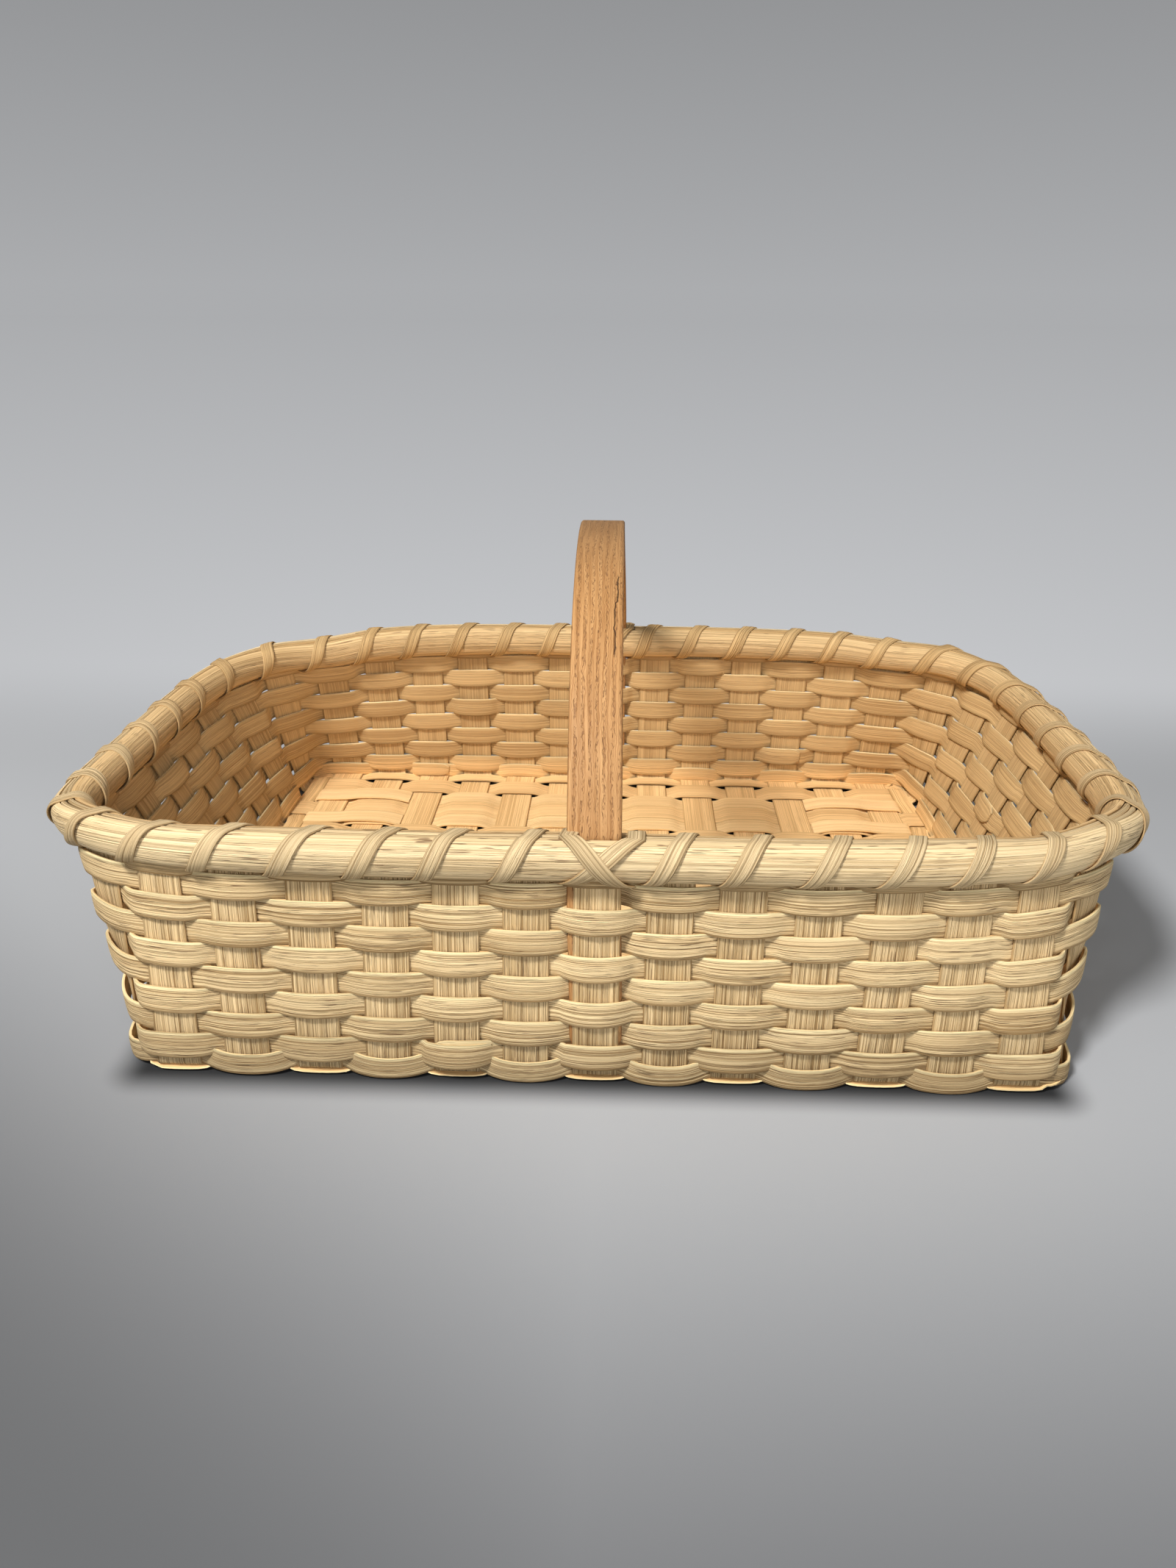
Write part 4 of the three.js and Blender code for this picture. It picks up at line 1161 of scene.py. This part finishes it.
def sweep_lashing(form, name, stops, node, shift):
    """A flat strip through (place, offset, rise) stops round the rim."""
    seat = form.size.rim_seat
    centres, outs = [], []
    for place, offset, rise in stops:
        point, out, up = form.rim_frame(place)
        bump = leg_bump(form, place) if offset < 0 else 0.0
        slim = form.slim(place)
        if abs(offset) > seat:
            offset = math.copysign(mix(seat, abs(offset), slim), offset)
        centres.append(point + out * (offset - bump) + up * (rise * (0.7 + 0.3 * slim)))
        outs.append(centres[-1] - (point + out * max(-seat, min(seat, offset))))
    stations = []
    last = len(centres) - 1
    for i, centre in enumerate(centres):
        heading = (centres[min(i + 1, last)] - centres[max(i - 1, 0)]).normalized()
        crown = (outs[i] - heading * outs[i].dot(heading)).normalized()
        stations.append(Station(centre, crown.cross(heading), crown))
    profile = ribbed(form.reed.lashing_width, form.reed.lashing_thickness)
    sweep(name, stations, profile, "lashing", node, shift)


def gap_place(index):
    """The place of the gap after a stake; beside the legs it moves outwards."""
    index = index % STAKE_COUNT
    shift = 0.06
    if index in (FRONT_LEG, BACK_LEG):
        return 0.5 + shift
    if index + 1 in (FRONT_LEG, BACK_LEG):
        return 0.5 - shift
    return 0.5


def make_lashing(form):
    """One wrap to each gap: out under the rims, up over them on a slant and down the inside."""
    path = LashPath(form)
    half, whole = path.lengths[path.steps], path.lengths[-1]
    cross_start, cross_end = 0.07, 0.05
    stops = []
    for n in range(STAKE_COUNT):
        crosses = (n + 1) % STAKE_COUNT in (FRONT_LEG, BACK_LEG)
        wander = LASH_DRIFT.get(n, 0.1 + 0.06 * wobble(n * 1.9, 4.0))
        begin = n + gap_place(n) + (cross_start if crosses else wander)
        finish = n + 1 + gap_place(n + 1)
        top = finish - cross_end if crosses else begin + LASH_SLANT + 0.05 * wobble(n * 2.3, 9.0)
        for (offset, rise), reached in zip(path.points, path.lengths):
            if reached <= half:
                place = mix(begin, top, reached / half)
            else:
                place = mix(top, finish, (reached - half) / (whole - half))
            stops.append((place, offset, rise))
    sweep_lashing(form, "rim_lashing_reed", stops, "rim_lashing", 700)


def make_handle_lashes(form):
    """The second strip of the cross at each leg."""
    path = LashPath(form, lift=form.reed.lashing_thickness)
    half = path.steps
    for name, leg in (("front", FRONT_LEG), ("back", BACK_LEG)):
        top, foot = leg - CROSS_TOP, leg + CROSS_FOOT
        stops = [(top + 0.045 * (i - half), *path.points[i]) for i in range(half + 9, half, -1)]
        stops += [(mix(foot, top, path.lengths[i] / path.lengths[half]), *path.points[i])
                  for i in range(half, -1, -1)]
        sweep_lashing(form, f"handle_lash_reed_{name}", stops, f"handle_lash_{name}", 760 + leg)


def handle_leg(form, index):
    """Sections of a leg from its tail's tip to above the rim: centre, outward way, thickness, width."""
    handle = form.handle
    stake = form.stake(index)
    sections = []
    steps = 46
    tip = 0.006
    for k in range(steps + 1):
        height = mix(handle.tail_end, form.rim_top + 0.0006, k / steps)
        into = smooth((height - form.size.rim_bottom + 0.004) / 0.005)
        thickness = mix(handle_thickness(form, height), handle.thickness - handle.notch * 0.6, into)
        centre = stake.point(0, height, form.push(index, height) - form.seat - thickness / 2)
        rise = height - handle.tail_end
        width = math.sqrt(1 - (1 - min(1, (rise + 0.0003) / tip)) ** 2)
        sections.append((centre, stake.out(height), thickness, width))
    return sections


def make_handle(form):
    """A bent oak strip: thin tails inside the middle cross stake, notches at the rims, a high arch."""
    handle = form.handle
    top = form.stake(BACK_LEG).point(0, form.rim_top, -form.seat)
    half_height = handle.apex - handle.arch_centre
    seat_angle = math.asin((top.z - handle.arch_centre) / half_height)
    half_span = top.y / math.cos(seat_angle)
    arch = []
    steps = 90
    blend = 0.05
    for k in range(steps + 1):
        angle = mix(math.pi - seat_angle - blend, seat_angle + blend, k / steps)
        across, rise = math.cos(angle), math.sin(angle)
        surface = Vector((0, half_span * across, handle.arch_centre + half_height * rise))
        out = Vector((0, across / half_span, rise / half_height)).normalized()
        arch.append((surface - out * (handle.thickness / 2), out, handle.thickness, 1.0))
    stations = []
    sections = handle_leg(form, FRONT_LEG) + arch + handle_leg(form, BACK_LEG)[::-1]
    for centre, out, thickness, width in sections:
        foot = handle.front_lean if centre.y < 0 else handle.back_lean
        lean = mix(foot, handle.top_lean, smooth((centre.z - 0.1) / (handle.apex - 0.1)))
        lean *= smooth((centre.z - 0.02) / 0.08)
        wide = handle.width * width
        profile = rounded(wide, thickness, min(0.0011, thickness / 2.6, wide / 2.6))
        stations.append(Station(centre - ALONG * lean, ALONG, out, profile=profile))
    sweep("oak_handle", stations, stations[0].profile, "oak", "handle", smooth_angle=OAK_SMOOTH_ANGLE)


def make_rows(form):
    for row in range(WALL_ROWS + 1):
        make_wall_row(form, row)
    make_edge_row(form)


class BasketOperator:
    """A step of the basket's making"""
    bl_options = {"REGISTER", "UNDO"}
    makers = ()

    def execute(self, context):
        if not MATERIALS:
            MATERIALS.update(make_materials(context.scene))
        form = Form(context.scene)
        for make in self.makers:
            make(form)
        return {"FINISHED"}


class WeaveStakes(BasketOperator, bpy.types.Operator):
    """Lays the cross stakes and long stakes and turns them up the walls"""
    bl_idname = "basket.stakes"
    bl_label = "Stakes"
    makers = (make_cross_stakes, make_long_stakes)


class WeaveFillers(BasketOperator, bpy.types.Operator):
    """Closes the base with fillers"""
    bl_idname = "basket.fillers"
    bl_label = "Base fillers"
    makers = (make_fillers,)


class WeaveRows(BasketOperator, bpy.types.Operator):
    """Weaves the rows round the base and up the walls"""
    bl_idname = "basket.rows"
    bl_label = "Weaver rows"
    makers = (make_rows,)


class FitRims(BasketOperator, bpy.types.Operator):
    """Fits the half round rims and the strands between them"""
    bl_idname = "basket.rims"
    bl_label = "Rims"
    makers = (make_rims, make_strands)


class LashRims(BasketOperator, bpy.types.Operator):
    """Binds the rims with the lashing, crossed at the handle"""
    bl_idname = "basket.lashing"
    bl_label = "Lashing"
    makers = (make_lashing, make_handle_lashes)


class BendHandle(BasketOperator, bpy.types.Operator):
    """Bends the oak handle over the basket"""
    bl_idname = "basket.handle"
    bl_label = "Handle"
    makers = (make_handle,)


def camera_rays(tree):
    """1 for what the camera sees, 0 for light that falls on the basket."""
    return add_node(tree, "ShaderNodeLightPath", {}, {}, "Is Camera Ray")


def stage_material(look):
    """The floor: painted shade towards the camera, a painted contact shadow under the basket, and for the
    camera a painted glow that fades into the distance.
    """
    material, tree, shader = start_material("studio_floor", 0.2)
    shader.inputs["Roughness"].default_value = 0.8
    x, y = coordinates(tree)[:2]
    # Painted shade: the floor darkens towards the camera, more on the left.
    near = 1 - (y + x.math("MINIMUM", 0.0) * 0.6).ramp(-0.46, -0.12)
    near = near * y.ramp(-1.6, -0.9)
    colour = colour_mix(tree, near, tuple(look.floor), shade(look.floor, look.near_shade))
    # Painted contact shadow: the floor darkens close to the basket's foot.
    aside = (x.abs() - look.contact_shadow_length / 2).math("MAXIMUM", 0.0)
    ahead = (y.abs() - look.contact_shadow_width / 2).math("MAXIMUM", 0.0)
    away = (aside * aside + ahead * ahead).math("SQRT")
    colour = colour.under(1 - away.ramp(0.0, 0.02), shade(look.floor, look.contact_shadow_tone))
    tree.links.new(colour.output, shader.inputs["Base Color"])

    # Painted light: for the camera the far floor glows, with a tone that fades with distance, in place of
    # the lit floor.
    reach = (x * x + y * y).math("SQRT")
    fade = add_node(tree, "ShaderNodeMath", {"operation": "DIVIDE"}, [0.18, reach + 0.572]) + 0.405
    far = add_node(tree, "ShaderNodeEmission", {},
                   {"Color": scaled(tree, tuple(look.distance_tint), fade)})
    share = y.ramp(0.16, 0.42).math("MAXIMUM", reach.ramp(1.2, 2.0)) * camera_rays(tree)
    lit = Socket(tree, shader.outputs["BSDF"])
    surface = add_node(tree, "ShaderNodeMixShader", {}, [share, lit, far])
    tree.links.new(surface.output, tree.nodes["Material Output"].inputs["Surface"])
    return material


def make_world(look):
    """Even light from all round; the camera sees a grey that darkens upwards."""
    world = bpy.data.worlds.new("studio")
    world.use_nodes = True
    tree = world.node_tree
    rise = coordinates(tree, "Generated")[2].math("MAXIMUM", 0.0)
    seen = scaled(tree, tuple(look.distance_tint), (0.42 - rise * 0.62).math("MAXIMUM", 0.1))
    colour = colour_mix(tree, camera_rays(tree), shade((1.0, 0.97, 0.92), look.sky), seen)
    tree.links.new(colour.output, tree.nodes["Background"].inputs["Color"])
    bpy.context.scene.world = world


def make_floor(look):
    """A wide flat floor."""
    bm = bmesh.new()
    bmesh.ops.create_grid(bm, x_segments=1, y_segments=1, size=12)
    bmesh.ops.translate(bm, verts=bm.verts, vec=(0, 0, -FLOOR_DROP))
    floor = new_object("studio_floor", new_mesh("studio_floor", bm, stage_material(look)))


def add_lamp(name, place, size, energy, colour):
    """A round soft lamp that shines at the middle of the basket."""
    lamp = bpy.data.lights.new(name, "AREA")
    lamp.shape = "DISK"
    lamp.size = size
    lamp.energy = energy
    lamp.color = colour
    holder = new_object(name, lamp)
    holder.location = place
    aim = Vector((0, 0, 0.05)) - Vector(place)
    holder.rotation_euler = aim.to_track_quat("-Z", "Y").to_euler()


# The camera of the photograph: yaw, pitch and roll in degrees, its place over the floor in metres,
# the photograph's width and focal length in pixels, and the sensor's width in millimetres.
CAMERA_ANGLES = (1.617, 22.87, 0.51)
CAMERA_PLACE = (0.00761, -0.57199)
PHOTO_WIDTH = 1600
FOCAL_LENGTH = 1604
SENSOR_WIDTH = 36


def make_camera(look):
    camera = bpy.data.cameras.new("camera")
    camera.sensor_fit = "HORIZONTAL"
    camera.sensor_width = SENSOR_WIDTH
    camera.lens = SENSOR_WIDTH * FOCAL_LENGTH / PHOTO_WIDTH
    camera.clip_start = 0.01
    yaw, pitch, roll = (math.radians(angle) for angle in CAMERA_ANGLES)
    turn = Matrix.Rotation(yaw, 3, "Z")
    forward = turn @ Vector((0, math.cos(pitch), -math.sin(pitch)))
    upright_way = turn @ Vector((0, math.sin(pitch), math.cos(pitch)))
    level_way = turn @ ALONG
    right = level_way * math.cos(roll) + upright_way * math.sin(roll)
    up = upright_way * math.cos(roll) - level_way * math.sin(roll)
    rotation = Matrix((right, up, -forward)).transposed()
    place = Vector((*CAMERA_PLACE, look.camera_height))
    holder = new_object("camera", camera)
    holder.matrix_world = Matrix.Translation(place) @ rotation.to_4x4()
    bpy.context.scene.camera = holder


class SetStage(bpy.types.Operator):
    """Sets up the floor, the lamps and the camera"""
    bl_idname = "basket.stage"
    bl_label = "Stage"
    bl_options = {"REGISTER", "UNDO"}

    def execute(self, context):
        look = context.scene.basket_stage
        make_camera(look)
        make_floor(look)
        add_lamp("key", (-0.66, -0.97, 1.55), 0.42, look.key_power, (1, 0.985, 0.96))
        add_lamp("fill", (0.4, -1.7, 0.75), 1.2, look.fill_power, (0.98, 0.99, 1))
        make_world(look)
        context.scene.view_settings.view_transform = "Standard"
        return {"FINISHED"}


class BasketPanel(bpy.types.Panel):
    """Lists the basket's steps"""
    bl_idname = "VIEW3D_PT_basket"
    bl_label = "Gathering Basket"
    bl_space_type = "VIEW_3D"
    bl_region_type = "UI"
    bl_category = "Basket"

    def draw(self, context):
        for operator in OPERATORS:
            self.layout.operator(operator.bl_idname)


OPERATORS = (SetStage, WeaveStakes, WeaveFillers, WeaveRows, FitRims, LashRims, BendHandle)
GROUPS = {
    "basket_reed": ReedSizes,
    "basket_size": BasketSizes,
    "basket_handle": HandleSizes,
    "basket_finish": Finish,
    "basket_stage": StageLook,
}


def register():
    for name, group in GROUPS.items():
        bpy.utils.register_class(group)
        setattr(bpy.types.Scene, name, PointerProperty(type=group))
    for part in (*OPERATORS, BasketPanel):
        bpy.utils.register_class(part)


def unregister():
    for part in (BasketPanel, *reversed(OPERATORS)):
        bpy.utils.unregister_class(part)
    for name, group in GROUPS.items():
        delattr(bpy.types.Scene, name)
        bpy.utils.unregister_class(group)


def main():
    register()
    bpy.ops.basket.stage()
    bpy.ops.basket.stakes()
    bpy.ops.basket.fillers()
    bpy.ops.basket.rows()
    bpy.ops.basket.rims()
    bpy.ops.basket.lashing()
    bpy.ops.basket.handle()


if __name__ == "__main__":
    main()
